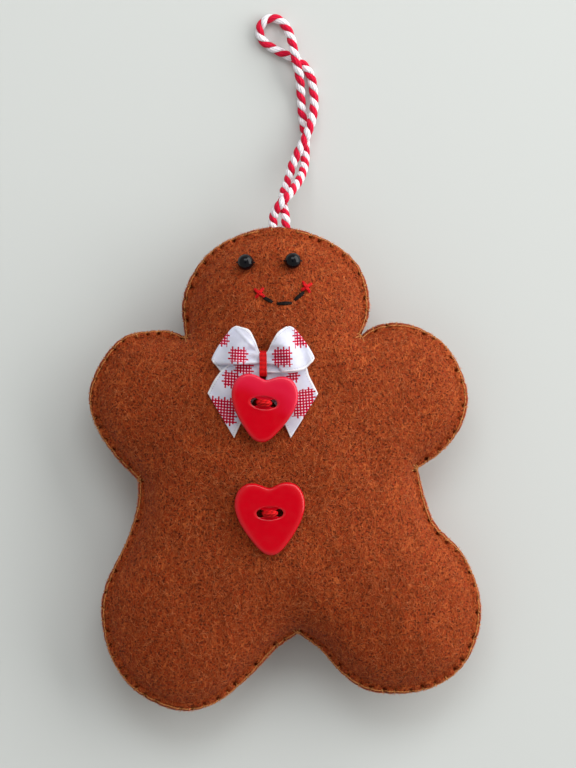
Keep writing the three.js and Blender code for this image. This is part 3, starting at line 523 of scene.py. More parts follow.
def stuffed(front, back):
    # a coarse closed shell over both felts is blown up as cloth with its rim held; gives how far each height moved
    pick = np.r_[0, 5, 9, 12, 16, np.linspace(21, len(ringShares) - 2, 12).astype(int)]
    every, small, flat, middle = 5, 0.012, 0.82, figure["seamZ"]
    heights = [z[pick][:, ::every] for z in (front, back)]
    sheets = [np.dstack([ringX[pick][:, ::every], ringY[pick][:, ::every], middle + (z - middle) * flat]) * small
              for z in heights]
    rows, columns = heights[0].shape
    sheets[1][0] = sheets[0][0]
    tips = [[*torso * small, sheet[-1, :, 2].mean()] for sheet in sheets]
    points = np.concatenate([sheets[0].reshape(-1, 3), sheets[1][1:].reshape(-1, 3), tips])
    upper, total = rows * columns, (2 * rows - 1) * columns
    quads, _ = gridFaces(rows, columns)
    under = np.where(quads >= columns, quads + upper - columns, quads)
    fans = fan(upper - columns, columns, total).tolist() + fan(total - columns, columns, total + 1)[:, ::-1].tolist()
    mesh = bpy.data.meshes.new("trial")
    mesh.from_pydata(points.tolist(), [], quads.tolist() + under[:, ::-1].tolist() + fans)
    trial = bpy.data.objects.new("trial", mesh)
    scene = bpy.context.scene
    scene.collection.objects.link(trial)
    held = trial.vertex_groups.new(name="held")
    held.add(list(range(2 * columns)) + list(range(upper, upper + columns)), 1.0, "REPLACE")
    modifier = trial.modifiers.new("Cloth", "CLOTH")
    cloth = modifier.settings
    cloth.quality, cloth.mass, cloth.air_damping = 6, 0.3, 2
    cloth.tension_stiffness = cloth.compression_stiffness = 12
    cloth.shear_stiffness, cloth.bending_stiffness = 4, 1.5
    cloth.use_pressure, cloth.uniform_pressure_force = True, 4.5
    cloth.vertex_group_mass = "held"
    cloth.effector_weights.gravity = 0
    modifier.collision_settings.use_collision = False
    modifier.point_cache.frame_start, modifier.point_cache.frame_end = 1, 22
    for step in range(1, 21):
        scene.frame_set(step)
    after = np.zeros(len(points) * 3, np.float32)
    trial.evaluated_get(bpy.context.evaluated_depsgraph_get()).data.vertices.foreach_get("co", after)
    scene.frame_set(1)
    bpy.data.objects.remove(trial)
    moved = (after.reshape(-1, 3).astype(float) - points)[:, 2] / small
    found = []
    for z, move in zip(heights, (moved[:upper], np.r_[moved[:columns], moved[upper:total]])):
        change = np.clip(move.reshape(rows, columns) - (1 - flat) * (z - middle), -1.6, 1.6)
        change -= np.average(change[4:])
        change[:3] *= np.array([0, 0.2, 0.6])[:, None]
        wanted, known = np.arange(rayCount) / every, np.arange(columns + 1)
        wide = np.array([np.interp(wanted, known, np.r_[row, row[0]]) for row in change])
        wanted, known = np.arange(len(ringShares)), np.r_[pick, len(ringShares) - 1]
        full = np.array([np.interp(wanted, known, np.r_[ray, change[-1].mean()]) for ray in wide.T]).T
        for _ in range(3):
            full = sum(np.roll(full, shift, 1) for shift in range(-3, 4)) / 7
            soft = (np.vstack([full[:1], full[:-1]]) + 2 * full + np.vstack([full[1:], full[-1:]])) / 4
            full = np.where(np.arange(len(full))[:, None] > 12, soft, full)
        found.append(full)
    return found


frontMove, backMove = stuffed(frontZ, backZ)
settled = [round(float(v), 2) for move in (frontMove, backMove) for v in (move.min(), move.max())]
print("filling settled", settled)
frontZ, backZ = frontZ + 0.6 * np.clip(frontMove, -1, 1), backZ + 0.6 * np.clip(backMove, -1, 1)
backZ = (backZ + np.sqrt(backZ ** 2 + 0.05)) / 2  # pressed flat on the table
frontZ[-1], backZ[-1] = frontZ[-2].mean(), backZ[-2].mean()

# look-up tables of both surfaces, by angle round the torso and share of the way to the edge
rayAngles = np.unwrap(np.arctan2(*(outline - torso).T[::-1]))
rayReach = np.linalg.norm(outline - torso, axis=1)
tableShares = np.linspace(0, 1, 401)
tables = {name: np.array([np.interp(tableShares, ringShares[::-1, ray], z[::-1, ray]) for ray in range(rayCount)])
          for name, z in (("front", frontZ), ("back", backZ))}


def lookUp(name, x, y):
    # the height at any point, mixed from both neighbours in angle and in share, and the share of the way to the edge
    x, y = np.asarray(x, float) - torso[0], np.asarray(y, float) - torso[1]
    angle = np.mod(np.arctan2(y, x) - rayAngles[0], 2 * np.pi) + rayAngles[0]
    place = np.interp(angle, np.r_[rayAngles, rayAngles[0] + 2 * np.pi], np.arange(rayCount + 1))
    ray = np.floor(place).astype(int)
    mix = place - ray
    a, b = ray % rayCount, (ray + 1) % rayCount
    share = np.hypot(x, y) / (rayReach[a] * (1 - mix) + rayReach[b] * mix)
    cell = np.clip(share, 0, 0.99999) * (len(tableShares) - 1)
    i = cell.astype(int)
    f = cell - i
    before, after = (tables[name][ray, i] * (1 - f) + tables[name][ray, i + 1] * f for ray in (a, b))
    return (1 - mix) * before + mix * after, share


def feltTop(x, y):
    return lookUp("front", x, y)[0]


def feltFinish():
    # matted wool: a brown ground with small gaps painted dark as shade in them, crossed by lighter fibres that lie
    # mostly along the figure
    material = newFinish("woolFelt", (0.25, 0.05, 0.014), 0.62, Specular_IOR_Level=0.12)
    mm = millimetres(material)
    # each layer's scale, number of lines, their width, turn and stretch
    layers = [(0.60, 16, 0.42, 0.2, 0.28), (0.78, 14, 0.44, -0.25, 0.3), (0.45, 20, 0.40, 0.7, 0.4),
              (0.8, 13, 0.42, 0.0, 0.8)]
    fibres = None
    for number, (fine, count, width, turn, draw) in enumerate(layers):
        along = mapping(mm, turn=(0, 0, turn))
        field = noise(mapping(along, (17.3 * number, 3.1, 11.0 * number), scale=(1, draw, 0.4)), fine, 0.5, 0.4)
        thin = spread(abs(calc("SINE", field * count)), width, 0.0)
        fibres = calc("MAXIMUM", fibres, thin * 0.85) if fibres else thin
    fibres = fibres * spread(noise(mm, 1.1, 2.0, 0.6), 0.36, 0.62, 0.45, 1.0)
    matted = noise(mm, 3.2, 2.0, 0.6)
    # painted shade: the small gaps between the fibres are darkened as if shade falls in them; the bump also sinks them
    shadedPits = spread(noise(mm, 2.0, 0.0, 0.5), 0.41, 0.27) * (1.0 - fibres * 0.6)
    body = mixColour(spread(matted, 0.32, 0.68), (0.196, 0.0195, 0.0011), (0.335, 0.042, 0.0042))
    body = mixColour(fibres * 0.50, body, (0.70, 0.180, 0.042))
    body = mixColour(shadedPits * 0.72, body, (0.036, 0.0045, 0.0012))
    body = mixColour(spread(noise(mm, 0.12, 3.0, 0.6), 0.3, 0.72, 0.0, 0.22), body, (0.180, 0.024, 0.0040))
    return finished(material, body, height=fibres * 0.8 + matted - shadedPits * 1.1, depth=0.22)


def quiltPiece(name, outerZ, innerZ, material, instead, first=0, every=1, upward=True):
    # outer and inner heights on the same rings, closed by a band at the edge and a fan at the torso
    last = len(ringShares) - 2
    outer = np.unique(np.r_[first:last + 1:every, last])
    inner = np.unique(np.r_[first, first + 6, first + 12, np.linspace(first + 16, last, 9).astype(int)])
    grids = [np.dstack([ringX[rows], ringY[rows], z[rows]]).reshape(-1, 3)
             for rows, z in ((outer, outerZ), (inner, innerZ))]
    points = np.concatenate([*grids, [[*torso, outerZ[-2].mean()], [*torso, innerZ[-2].mean()]]])
    start, total = len(grids[0]), len(points) - 2
    quads = np.concatenate([gridFaces(len(outer), rayCount)[0], gridFaces(len(inner), rayCount)[0][:, ::-1] + start,
                            band(start, 0, rayCount)])
    fans = np.concatenate([fan(start - rayCount, rayCount, total), fan(total - rayCount, rayCount, total + 1)[:, ::-1]])
    if not upward:
        quads, fans = quads[:, ::-1], fans[:, ::-1]
    makePiece(name, (points, [quads, fans], None), material, instead)


felt = feltFinish()
inside = figure["thickness"] * np.maximum(roundEdge, 0.2) + 0.2
quiltPiece("felt_front", frontZ, np.maximum(frontZ - inside, seamTop), felt, "front_felt")
quiltPiece("felt_back", backZ, np.minimum(backZ + inside, seamBottom), felt, "back_felt", every=2, upward=False)
fluff = newFinish("fibreFilling", (0.86, 0.84, 0.80), 1.0, Sheen_Weight=0.3)
finished(fluff, height=noise(millimetres(fluff), 0.8, 4.0, 0.7), depth=0.8)
quiltPiece("filling", np.maximum(frontZ - 1.9, seamTop + 0.2), np.minimum(backZ + 1.9, seamBottom - 0.2), fluff,
           "stuffing", first=12, every=4)
print("felt made")

# stray fibres over the felt
fibre = dict(onFace=5200, long=90, onBack=1200, atEdge=4200, length=(1.2, 4.2), longLength=(7, 17),
             radius=(0.022, 0.042), bend=1.76)


def fibreFinish(name, low, high):
    material = newFinish(name, high, 0.9, Specular_IOR_Level=0.1)
    return finished(material, mixColour(spread(noise(millimetres(material), 0.8, 2.0, 0.6), 0.35, 0.65), low, high))


def fibreArc(x, y, length, heading, bend, steps, up):
    # an arc on the felt: heading turns by bend over its length, and its middle is raised
    t = np.linspace(0, 1, steps)
    angle = (heading[:, None] + bend[:, None] * (t - 0.5))[:, :-1]
    step = length[:, None] / (steps - 1)
    px, py = (start[:, None] + np.pad(np.cumsum(wave(angle) * step, 1), ((0, 0), (1, 0)))
              for start, wave in ((x, np.cos), (y, np.sin)))
    return px, py, up[:, None] * np.sin(np.pi * np.clip(t * 0.9 + 0.05, 0, 1))


def faceFibres(count, surface, sign, steps=5, length=fibre["length"], within=0.98):
    tries = dice.uniform(-1, 1, (count * 3, 2)) * (figure["width"] / 2, figure["length"] / 2)
    spots = tries[lookUp(surface, *tries.T)[1] < within][:count]
    n = len(spots)
    px, py, lift = fibreArc(*spots.T, dice.uniform(*length, n), dice.uniform(0, 2 * np.pi, n),
                            dice.normal(0, fibre["bend"], n), steps, dice.uniform(0.02, 0.16, n))
    z, share = lookUp(surface, px, py)
    kept = share.max(1) < 0.985
    thinning = np.interp(np.linspace(0, 5, steps), range(6), [0.6, 1, 1, 1, 0.9, 0.4])
    radii = dice.uniform(*fibre["radius"], n)[:, None] * thinning
    return strands(np.dstack([px, py, z + sign * (lift + 0.02)])[kept], radii[kept], 3)


def edgeFibres(count):
    foot, normal = onOutline(dice.uniform(0, outlineRun[-1], count), dice.uniform(-0.9, 0.0, count))
    along = np.stack([-normal[:, 1], normal[:, 0]], 1)
    out = unit(along * dice.normal(0, 0.9, count)[:, None] - normal)
    length = dice.uniform(0.15, 0.6, count)[:, None, None]
    t = np.linspace(0, 1, 5)[None, :, None]
    curl = along[:, None] * (dice.normal(0, 0.5, count)[:, None, None] * t ** 2)
    flat = foot[:, None] + (out[:, None] * t + curl) * length
    start = feltTop(*foot.T) - dice.uniform(-0.1, 0.9, count)
    z = start[:, None] + dice.normal(0.05, 0.35, count)[:, None] * (t * length)[..., 0]
    radii = dice.uniform(0.024, 0.044, count)[:, None] * np.array([1, 1, 1, 0.8, 0.4])
    return strands(np.dstack([flat, z]), radii, 3)


looseFibre = fibreFinish("looseFibre", (0.26, 0.042, 0.009), (0.64, 0.19, 0.070))
# painted sheen: the rim fibres are paler than the loose ones, standing in for the light caught by the fuzzy rim
rimFibreSheen = fibreFinish("rimFibreSheen", (0.56, 0.14, 0.045), (0.86, 0.34, 0.17))
makePiece("felt_fibres_front", faceFibres(fibre["onFace"], "front", 1), looseFibre)
longFibres = dict(steps=18, length=fibre["longLength"], within=0.45)
raisedFibres = [faceFibres(fibre["onFace"] // 2, "front", 1), faceFibres(fibre["long"], "front", 1, **longFibres)]
makePiece("felt_fibres_raised", joined(raisedFibres), looseFibre)
makePiece("felt_fibres_edge", edgeFibres(fibre["atEdge"]), rimFibreSheen)
backFibres = faceFibres(fibre["onBack"], "back", -1)
backFibres[0][:, 2] = np.maximum(backFibres[0][:, 2], 0.05)
makePiece("felt_fibres_back", backFibres, looseFibre)
print("fibres laid")


def threadFinish(name, colour, darkToneAndShade, roughness, pitch):
    # two fine plies wound round the strand, from its own UV; the grooves between them are painted darker as shade,
    # mixed with a random tone
    material = newFinish(name, colour, roughness, Specular_IOR_Level=0.12)
    u, v, _ = split(coordinates(material, "UV"))
    groove = abs(calc("SINE", (u * 2.0 + v / pitch) * math.pi))
    # painted shade: the dark colour fills the grooves between the plies, and also comes in at random
    toneAndGrooveShade = spread(groove, 0.0, 0.7) * spread(noise(millimetres(material), 1.6, 2.0, 0.6), 0.2, 0.7, 0.55, 1.0)
    return finished(material, mixColour(toneAndGrooveShade, darkToneAndShade, colour), height=groove, depth=0.06)


copperFloss = threadFinish("copperFloss", (0.64, 0.26, 0.080), (0.17, 0.040, 0.007), 0.6, 0.9)
redFloss = threadFinish("redFloss", (0.66, 0.006, 0.008), (0.30, 0.001, 0.004), 0.5, 1.1)
blackFloss = threadFinish("blackFloss", (0.011, 0.008, 0.007), (0.003, 0.002, 0.002), 0.7, 1.1)


def edgeLegs():
    # each leg goes from its front hole over the edge to its back hole
    count = len(stitchRuns)
    inwards = stitchDepths[:, None] * np.linspace(1, 0, 5)
    depth = np.concatenate([inwards, np.full((count, 2), -0.1), inwards[:, ::-1]], 1)
    depth[:, 3:9] += np.interp(stitchRuns, outlineRun[:-1], notches)[:, None]
    lean = 2 * dice.normal(0, 0.16, count)[:, None] * np.r_[np.linspace(1, 0, 6), np.linspace(0, 1, 6)]
    along = np.stack([-stitchNormals[:, 1], stitchNormals[:, 0]], 1)
    flat = stitchFeet[:, None] + stitchNormals[:, None] * depth[..., None] + along[:, None] * lean[..., None]
    raised = np.array([-0.30, 0.16, 0.24, 0.20, 0.08, 0, 0, 0.08, 0.20, 0.24, 0.16, -0.30])
    front, back = (lookUp(name, flat[..., 0], flat[..., 1])[0] for name in ("front", "back"))
    z = np.where(np.arange(12) < 6, front + raised, back - raised)
    z[:, 5:7] = figure["seamZ"] + np.array([0.55, -0.55])
    return strands(np.dstack([flat, z]), stitch["threadRadius"], 6)


def edgePurl():
    # the thread that runs along the front rim from leg to leg
    u = np.linspace(-0.04, 1.04, 9)
    gaps = np.r_[stitchRuns[1:], stitchRuns[0] + outlineRun[-1]] - stitchRuns
    runs = stitchRuns[:, None] + gaps[:, None] * u
    drawn = np.interp(np.mod(runs, outlineRun[-1]), outlineRun, np.r_[notches, notches[0]])
    place, _ = onOutline(runs, -(0.52 + 0.24 * np.sin(runs * 0.19) + drawn))
    ride = 0.06 + 0.05 * np.cos(2 * np.pi * u) + np.abs(dice.normal(0, 0.05, len(stitchRuns)))[:, None]
    paths = np.dstack([place, feltTop(place[..., 0], place[..., 1]) + ride])
    return strands(paths[~atCord(stitchFeet, 5.0)], stitch["threadRadius"], 6)


def cornerFans():
    # longer stitches that spread out from each sharp corner
    paths = []
    for corner, widest in zip(corners, (62, 62, 40, 48, 40)):
        foot, normal = outline[corner], unit(inward[corner - 6] + inward[corner + 6])
        for reach, share in zip((1.3, 1.9, 1.3, 1.9), (-1, -0.35, 0.3, 0.95)):
            cosine, sine = direction(widest * share)
            way = normal * cosine + np.array([-normal[1], normal[0]]) * sine
            flat = foot - normal * 0.1 + way * np.linspace(0, reach, 8)[:, None]
            paths.append(np.column_stack([flat, feltTop(*flat.T) + [0.0, 0.12, 0.16, 0.16, 0.16, 0.14, 0.1, -0.4]]))
    return strands(paths, stitch["threadRadius"] * 0.95, 6)


makePiece("edge_stitches", joined([edgeLegs(), edgePurl(), cornerFans()]), copperFloss, "seam_thread")


def flatStitch(start, end, radius, rise=0.0):
    # two strands side by side from one hole to the other, ends sunk in the felt
    start, end = np.array(start), np.array(end)
    way = unit(end - start)
    t = np.linspace(0, 1, 12)
    swell = radius * 0.725 * np.sin(np.pi * np.clip(t, 0.12, 0.88)) ** 0.5
    paths = []
    for side in (-1, 1):
        flat = start + (end - start) * t[:, None] + side * swell[:, None] * (-way[1], way[0])
        z = feltTop(*flat.T) + radius * 0.9 + rise - 0.45 * (1 - np.sin(np.pi * t) ** 0.35)
        paths.append(np.column_stack([flat, z]))
    return strands(paths, radius, 8)


smile = dict(left=((-5.35, 42.7), (-3.1, 41.45)), centre=((-1.95, 41.1), (1.55, 41.25)),
             right=((2.35, 41.95), (4.65, 43.95)))
for side, (start, end) in smile.items():
    makePiece("smile_" + side, flatStitch(start, end, 0.27), blackFloss, "smile_stitch_" + side)
cheeks = dict(left=((-6.3, 43.75), 8), right=((5.3, 45.25), -12))
for side, (middle, turn) in cheeks.items():
    arms = [(1.55 * direction(angle + turn), rise) for angle, rise in ((45, 0.0), (135, 0.25))]
    cross = joined([flatStitch(middle - arm, middle + arm, 0.25, rise) for arm, rise in arms])
    makePiece("cheek_" + side, cross, redFloss, "cheek_stitch_" + side)
print("face stitched")

# the eyes: a bead with a bore across it is a half circle, sine and cosine, turned about X and closed by the bore's wall
eye = dict(radius=2.0, bore=0.5, sides=64)
blackBead = newFinish("blackBead", (0.001, 0.0014, 0.003), 0.07, Specular_IOR_Level=0.24)
finished(blackBead, roughness=spread(noise(millimetres(blackBead), 1.5, 2.0), 0.3, 0.7, 0.04, 0.09))
mouth = math.asin(eye["bore"] / eye["radius"])
angle = np.linspace(mouth, np.pi - mouth, 40)
reach = np.r_[eye["radius"] * np.sin(angle), np.full(6, eye["bore"])]
across = eye["radius"] * np.r_[-np.cos(angle), math.cos(mouth) * np.linspace(1, -1, 8)[1:-1]]
turn = np.linspace(0, 2 * np.pi, eye["sides"], endpoint=False)
bead = np.stack([across[:, None] + 0 * turn, reach[:, None] * np.cos(turn), reach[:, None] * np.sin(turn)], -1)
bead = bead.reshape(-1, 3)
boreWall = band(len(bead) - eye["sides"], 0, eye["sides"])
beadFaces = np.concatenate([gridFaces(len(reach), eye["sides"])[0], boreWall])[:, ::-1]
threadSide = np.array([(-2.0, -2.3), (-2.15, -1.3), (-2.15, -0.4), (-1.6, 0.0), (0.0, 0.0)])
threadRoute = np.vstack([threadSide, threadSide[-2::-1] * (-1, 1)])
for side in ("left", "right"):
    centre = np.mean(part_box("eye_bead_" + side), 0) * 1000
    makePiece("bead_" + side, (bead + centre, [beadFaces], None), blackBead, "eye_bead_" + side)
    line = smoothCurve(centre + np.insert(threadRoute, 1, 0, 1), 40)
    line[:, 2] = np.maximum(line[:, 2], feltTop(*line[:, :2].T) - 0.3)
    makePiece("bead_thread_" + side, strands([line], 0.2, 8), blackFloss, "eye_thread_" + side)
print("eyes made")

# the bow: one ribbon folded into two loops and two tails
bow = dict(knot=(-5.39, 26.257), width=10.6, thickness=0.32, waist=4.3, wingBend=2.4, tailBend=4.8, wingReach=11.1,
           wings=(145.8, 36.2), tailReach=18.7, tails=(246, 293), tailSlant=7.2, foldRadius=0.8, loft=2.1,
           crossing=11.8, lanes=44, stations=44, pleats=0.30, pleatWidth=2.3, droop=0.7, backSag=0.4, lip=0.25,
           rest=0.52, knotRise=0.8, layerStep=0.75, bound=2.7)
# how the halves above and below the ribbon's middle widen out of the knot: the reach of its pinch, the swell beyond,
# where that is greatest and its reach, each in the left loop, the right loop, the left tail and the right tail
widening = dict(above=((4.0, 5.0, 6.0, 4.0), (1.9, 0.6, 0.0, 1.7), (8.4, 8.8, 7.6, 7.6), (2.8, 2.6, 2.6, 2.6)),
                below=((4.0, 5.0, 4.0, 4.0), (1.7, 1.0, 1.7, 1.7), (7.6, 8.4, 7.6, 7.6), (2.6, 2.6, 2.6, 2.6)))
knot = np.array(bow["knot"])
lowFold = bow["rest"] + bow["knotRise"] * bell(bow["wingReach"] - bow["bound"], 6.0)
topFold = lowFold + 2 * bow["foldRadius"]
# red check patches: the layer they show on (0 lower, 1 upper, 2 middle), place from the knot and half sizes
patches = [(0, -9.9, -11.7, 2.8, 3.0), (0, -7.8, -3.9, 1.8, 1.7), (0, -4.8, -1.3, 2.0, 1.1), (1, 9.6, 6.4, 1.9, 2.0),
           (1, 4.7, 1.6, 2.0, 2.0), (1, -6.1, 2.0, 2.0, 1.6), (1, -10.0, 6.2, 1.3, 1.5), (2, 7.4, -3.1, 1.2, 1.1),
           (2, 10.0, -9.6, 2.4, 3.2)]
check = dict(pitch=0.71, line=0.56, whisker=0.55, lean=0.005, weave=0.22)


def ribbonFinish(spots):
    material = newFinish("checkRibbon", (0.66, 0.68, 0.83), 0.7, Specular_IOR_Level=0.1, Subsurface_Weight=0.6,
                         Subsurface_Scale=0.002, Subsurface_Radius=(1, 1, 1))
    u, v, _ = split(coordinates(material, "UV"))
    # the threads of the check lie across the ribbon's own at about 45 degrees, so they run along X and Y where it lies
    x, y, _ = split(mapping(millimetres(material), place=(-knot[0], -knot[1], 0)))
    lean = x * check["lean"]
    p, q = x + lean * y, y - lean * x
    lineU, lineV = (calc("FRACT", value / check["pitch"]) < check["line"] for value in (p, q))
    # every second thread of a patch runs past its even edge
    pastU, pastV = (calc("FRACT", calc("FLOOR", value / check["pitch"]) * 0.5) * 2 * check["whisker"]
                    for value in (p, q))

    # a ramp of flat steps along the ribbon holds the patch at each place: its middle from the knot and its half sizes
    ramp = newNode("ValToRGB", {0: v / 100.0})
    node = ramp.socket.node
    node.color_ramp.interpolation = "CONSTANT"
    steps = node.color_ramp.elements
    steps.remove(steps[1])
    for number, (far, midU, midV, halfU, halfV) in enumerate(spots):
        step = steps.new((far + spots[number - 1][0]) / 200) if number else steps[0]
        step.color = (midU / 40 + 0.5, midV / 40 + 0.5, halfU / 10, halfV / 10)
    midU, midV, halfU = split(ramp)
    halfU, halfV = halfU * 10.0, Wire(node.outputs["Alpha"]) * 10.0
    offU, offV = abs(p - (midU * 40.0 - 20.0)), abs(q - (midV * 40.0 - 20.0))
    across = (offU < halfU + pastV) * (offV < halfV)
    lengthwise = (offV < halfV + pastU) * (offU < halfU)
    red = calc("MAXIMUM", across * lineV, lengthwise * lineU)
    weaveU, weaveV = (calc("SINE", value * (2 * math.pi / check["weave"])) for value in (u, v))
    # the woven edge: a paler border with a row of small dips inside it, the dips painted darker as shade in them
    fromEdge = bow["width"] / 2 - abs(u)
    shadedDips = (abs(fromEdge - 0.62) < 0.10) * (calc("FRACT", v / 0.62) < 0.4)
    shade = spread(noise(millimetres(material), 0.35, 3.0, 0.6), 0.3, 0.7)
    white = mixColour(shade, (0.68, 0.71, 0.92), (0.75, 0.775, 0.95))
    # painted shade: the dips along the woven edge are darkened as if shade falls in them
    white = mixColour(shadedDips * 0.55, white, (0.42, 0.42, 0.50))
    white = mixColour(spread(fromEdge, 0.25, 0.6), (0.90, 0.92, 0.98), white)
    # the red is deeper where two threads cross
    redTone = mixColour(lineU * lineV, (0.62, 0.006, 0.048), (0.36, 0.0, 0.018))
    height = weaveU * weaveV * 0.3 + red * 0.1 - shadedDips
    return finished(material, mixColour(red, white, redTone), height=height, depth=0.05)


def ribbonRun(firstWay, lastWay, start, end, side, kind):
    # a layer from one end through the knot to the other: each half leaves along X and bends towards its own way
    share = np.linspace(-1, 1, 2 * bow["stations"] + 1)
    before = share < 0
    along = np.where(before, -start, end) * np.abs(share) ** 1.15
    reach = np.abs(along)
    towards = np.where(before[:, None], direction(firstWay), direction(lastWay))
    wing = np.where(before, start, end) <= bow["wingReach"]
    bend = np.where(wing, bow["wingBend"], bow["tailBend"])
    straight = np.exp(-reach / bend)[:, None]
    first = np.stack([np.sign(towards[:, 0]), 0 * reach], 1)
    turned = bend[:, None] * (1 - straight)
    sag = np.where(wing & (kind != 1), bow["backSag"] * np.sin(np.pi * np.clip(reach / bow["wingReach"], 0, 1)) ** 2, 0)
    place = knot + first * turned + towards * (reach[:, None] - turned) - np.stack([0 * sag, sag], 1)
    heading = unit(first * straight + towards * (1 - straight)) * np.where(before, -1, 1)[:, None]
    aside = np.stack([-heading[:, 1], heading[:, 0]], 1) * side
    which = np.where(towards[:, 0] < 0, 0, 1) + np.where(wing, 0, 2)
    halves = {}
    for half, table in widening.items():
        pinch, swell, peak, beyond = np.array(table)[:, which]
        wide = bow["width"] - (bow["width"] - bow["waist"]) * bell(reach, pinch) + swell * bell(reach - peak, beyond)
        halves[half] = aside * wide[:, None] / 2
    slant = 0 * along
    for sign, far in ((1, start), (-1, end)):
        if far > bow["wingReach"]:
            slant += sign * bow["tailSlant"] / 2 * softStep(-sign * along, bow["wingReach"] * 0.6, far)
    return dict(halves, place=place, heading=heading, slant=slant, kind=np.full(len(along), kind), level=0 * along,
                endward=towards * (wing * softStep(reach, 5.0, bow["wingReach"]))[:, None], outset=0 * along)


def ribbonFold(before, low, rising):
    # half a turn from one height to the top one, or back, at a loop's end
    share = np.linspace(0, 1, 15)[1:-1]
    angle = np.pi * (share if rising else 1 - share)
    radius = (topFold - low) / 2
    fold = {key: np.repeat(values[-1:], len(share), 0) for key, values in before.items()}
    for half in widening:
        fold[half] = fold[half] * (1 - 0.08 * np.sin(angle))[:, None]
    return dict(fold, kind=np.full(len(share), 3), level=low + radius * (1 - np.cos(angle)),
                outset=bow["foldRadius"] * np.sin(angle))


def ribbonHeights(kind, reach, level, lane):
    # the middle layer lies lowest, the lower one steps down off it, and the upper one arches up to its fold
    base = bow["rest"] + bow["knotRise"] * bell(np.maximum(0, reach - bow["bound"]), 6.0)
    second = base + bow["layerStep"] * (1 - softStep(reach, bow["crossing"], bow["crossing"] + 2.7))
    t = np.clip((reach - bow["bound"]) / (bow["wingReach"] - bow["bound"]), 0, 1)
    start = bow["rest"] + bow["knotRise"] + 2 * bow["layerStep"]
    top = start + (topFold - start) * softStep(t, 0, 1)
    top += (bow["loft"] - bow["droop"] * np.abs(lane) ** 3) * np.sin(np.pi * t) ** 2
    return np.select([kind == 0, kind == 1, kind == 2], [second, top, base], level)


def ribbonPiece():
    # centre = layer's middle + half width * lane, on the felt + height + pleats; both faces lie half a thickness off it
    (left, right), (leftTail, rightTail) = bow["wings"], bow["tails"]
    lower = ribbonRun(leftTail, right, bow["tailReach"], bow["wingReach"], 1, 0)
    upper = ribbonRun(right, left, bow["wingReach"], bow["wingReach"], -1, 1)
    middle = ribbonRun(left, rightTail, bow["wingReach"], bow["tailReach"], 1, 2)
    parts = [lower, ribbonFold(lower, lowFold + bow["layerStep"], True), upper, ribbonFold(upper, lowFold, False),
             middle]
    # a column for each value, beside which the lanes across the ribbon lie
    whole = {key: np.concatenate([part[key] for part in parts])[:, None] for key in lower}
    lane = np.linspace(-1, 1, bow["lanes"] + 1)
    kind, slant = whole["kind"], whole["slant"] * lane
    drawnBack = 0.4 * lane ** 2 + np.where(lane > 0, 0.5, 0.15) * np.abs(lane) ** 9
    foot = whole["place"] + np.where(lane[:, None] > 0, whole["above"], whole["below"]) * lane[:, None]
    foot = foot + whole["heading"] * slant[..., None] - whole["endward"] * drawnBack[:, None]
    x, y = np.moveaxis(foot - knot, -1, 0)
    reach = np.hypot(x, y)
    height = ribbonHeights(kind, reach, whole["level"], lane)
    height += (bow["pleats"] * np.cos(2 * np.pi * y / bow["pleatWidth"] + 0.5 * np.sin(foot[..., 0]))
               * bell(np.maximum(0, reach - 2.2), 4.0) * softStep(np.abs(x), 0.9, 2.6))
    top = kind == 1
    height += 0.16 * lumps(foot[..., 0], foot[..., 1], 7.0, 31) * softStep(reach, 3, 8) * top
    # the lower edges of both loops roll under: level with the knot on the left, and sloping away from it on the right
    lip = np.where(x < 0, bow["lip"], 0.15 - 2.9 * softStep(x, 2.4, 6.6))
    over = np.where(top, np.maximum(0, lip - y), 0)
    foot[..., 1] += over - 0.3 * np.tanh(over / 0.3)
    height -= 1.25 * (1 - np.exp(-over / 1.1))
    # a soft crease on the left loop, from its upper corner to the knot
    a, b = knot + (-1.0, 2.6), knot + (-6.9, 8.9)
    t = np.clip(((foot - a) @ (b - a)) / ((b - a) @ (b - a)), 0, 1)
    fromCrease = np.linalg.norm(foot - a - t[..., None] * (b - a), axis=-1)
    height += 0.34 * bell(fromCrease, 0.30) * top * softStep(t, 0.02, 0.2)
    height += feltTop(foot[..., 0], foot[..., 1])
    centre = np.dstack([foot + whole["heading"] * whole["outset"][..., None], height])
    normal = unit(np.cross(np.gradient(centre, axis=0), np.gradient(centre, axis=1)))
    points = np.concatenate([centre + face * normal * bow["thickness"] / 2 for face in (1, -1)]).reshape(-1, 3)
    # u is across the flat ribbon and v along it, in millimetres
    rows, columns = centre.shape[:2]
    run = runOf(centre[:, columns // 2])
    uv = np.dstack([np.broadcast_to(lane * bow["width"] / 2, slant.shape), run[:, None] + slant]).reshape(-1, 2)
    quads, _ = gridFaces(rows, columns, False)
    count = rows * columns
    index = np.arange(count).reshape(rows, columns)
    ring = np.concatenate([index[0], index[1:, -1], index[-1, -2::-1], index[-2:0:-1, 0]])
    edge = np.stack([ring, np.roll(ring, -1), np.roll(ring, -1) + count, ring + count], 1)
    faces = [quads[:, ::-1], quads + count, edge]
    spots = []
    for layer, patchX, patchY, halfX, halfY in patches:
        far = np.where(kind == layer, np.linalg.norm(foot - knot - (patchX, patchY), axis=-1), 99).argmin()
        lean = check["lean"] * patchX
        spots.append((uv[far, 1], patchX + lean * patchY, patchY - lean * patchX, halfX, halfY))
    shape = points, faces, [uv[each % count] for each in faces]
    piece = makePiece("ribbon", shape, ribbonFinish(sorted(spots)), "bow_ribbon")
    print("ribbon", round(float(run[-1]), 1), "mm")


tie = dict(turns=5, first=-0.72, spacing=0.36, sway=0.05, radius=0.24, beyond=0.85, low=0.28, high=3.35)


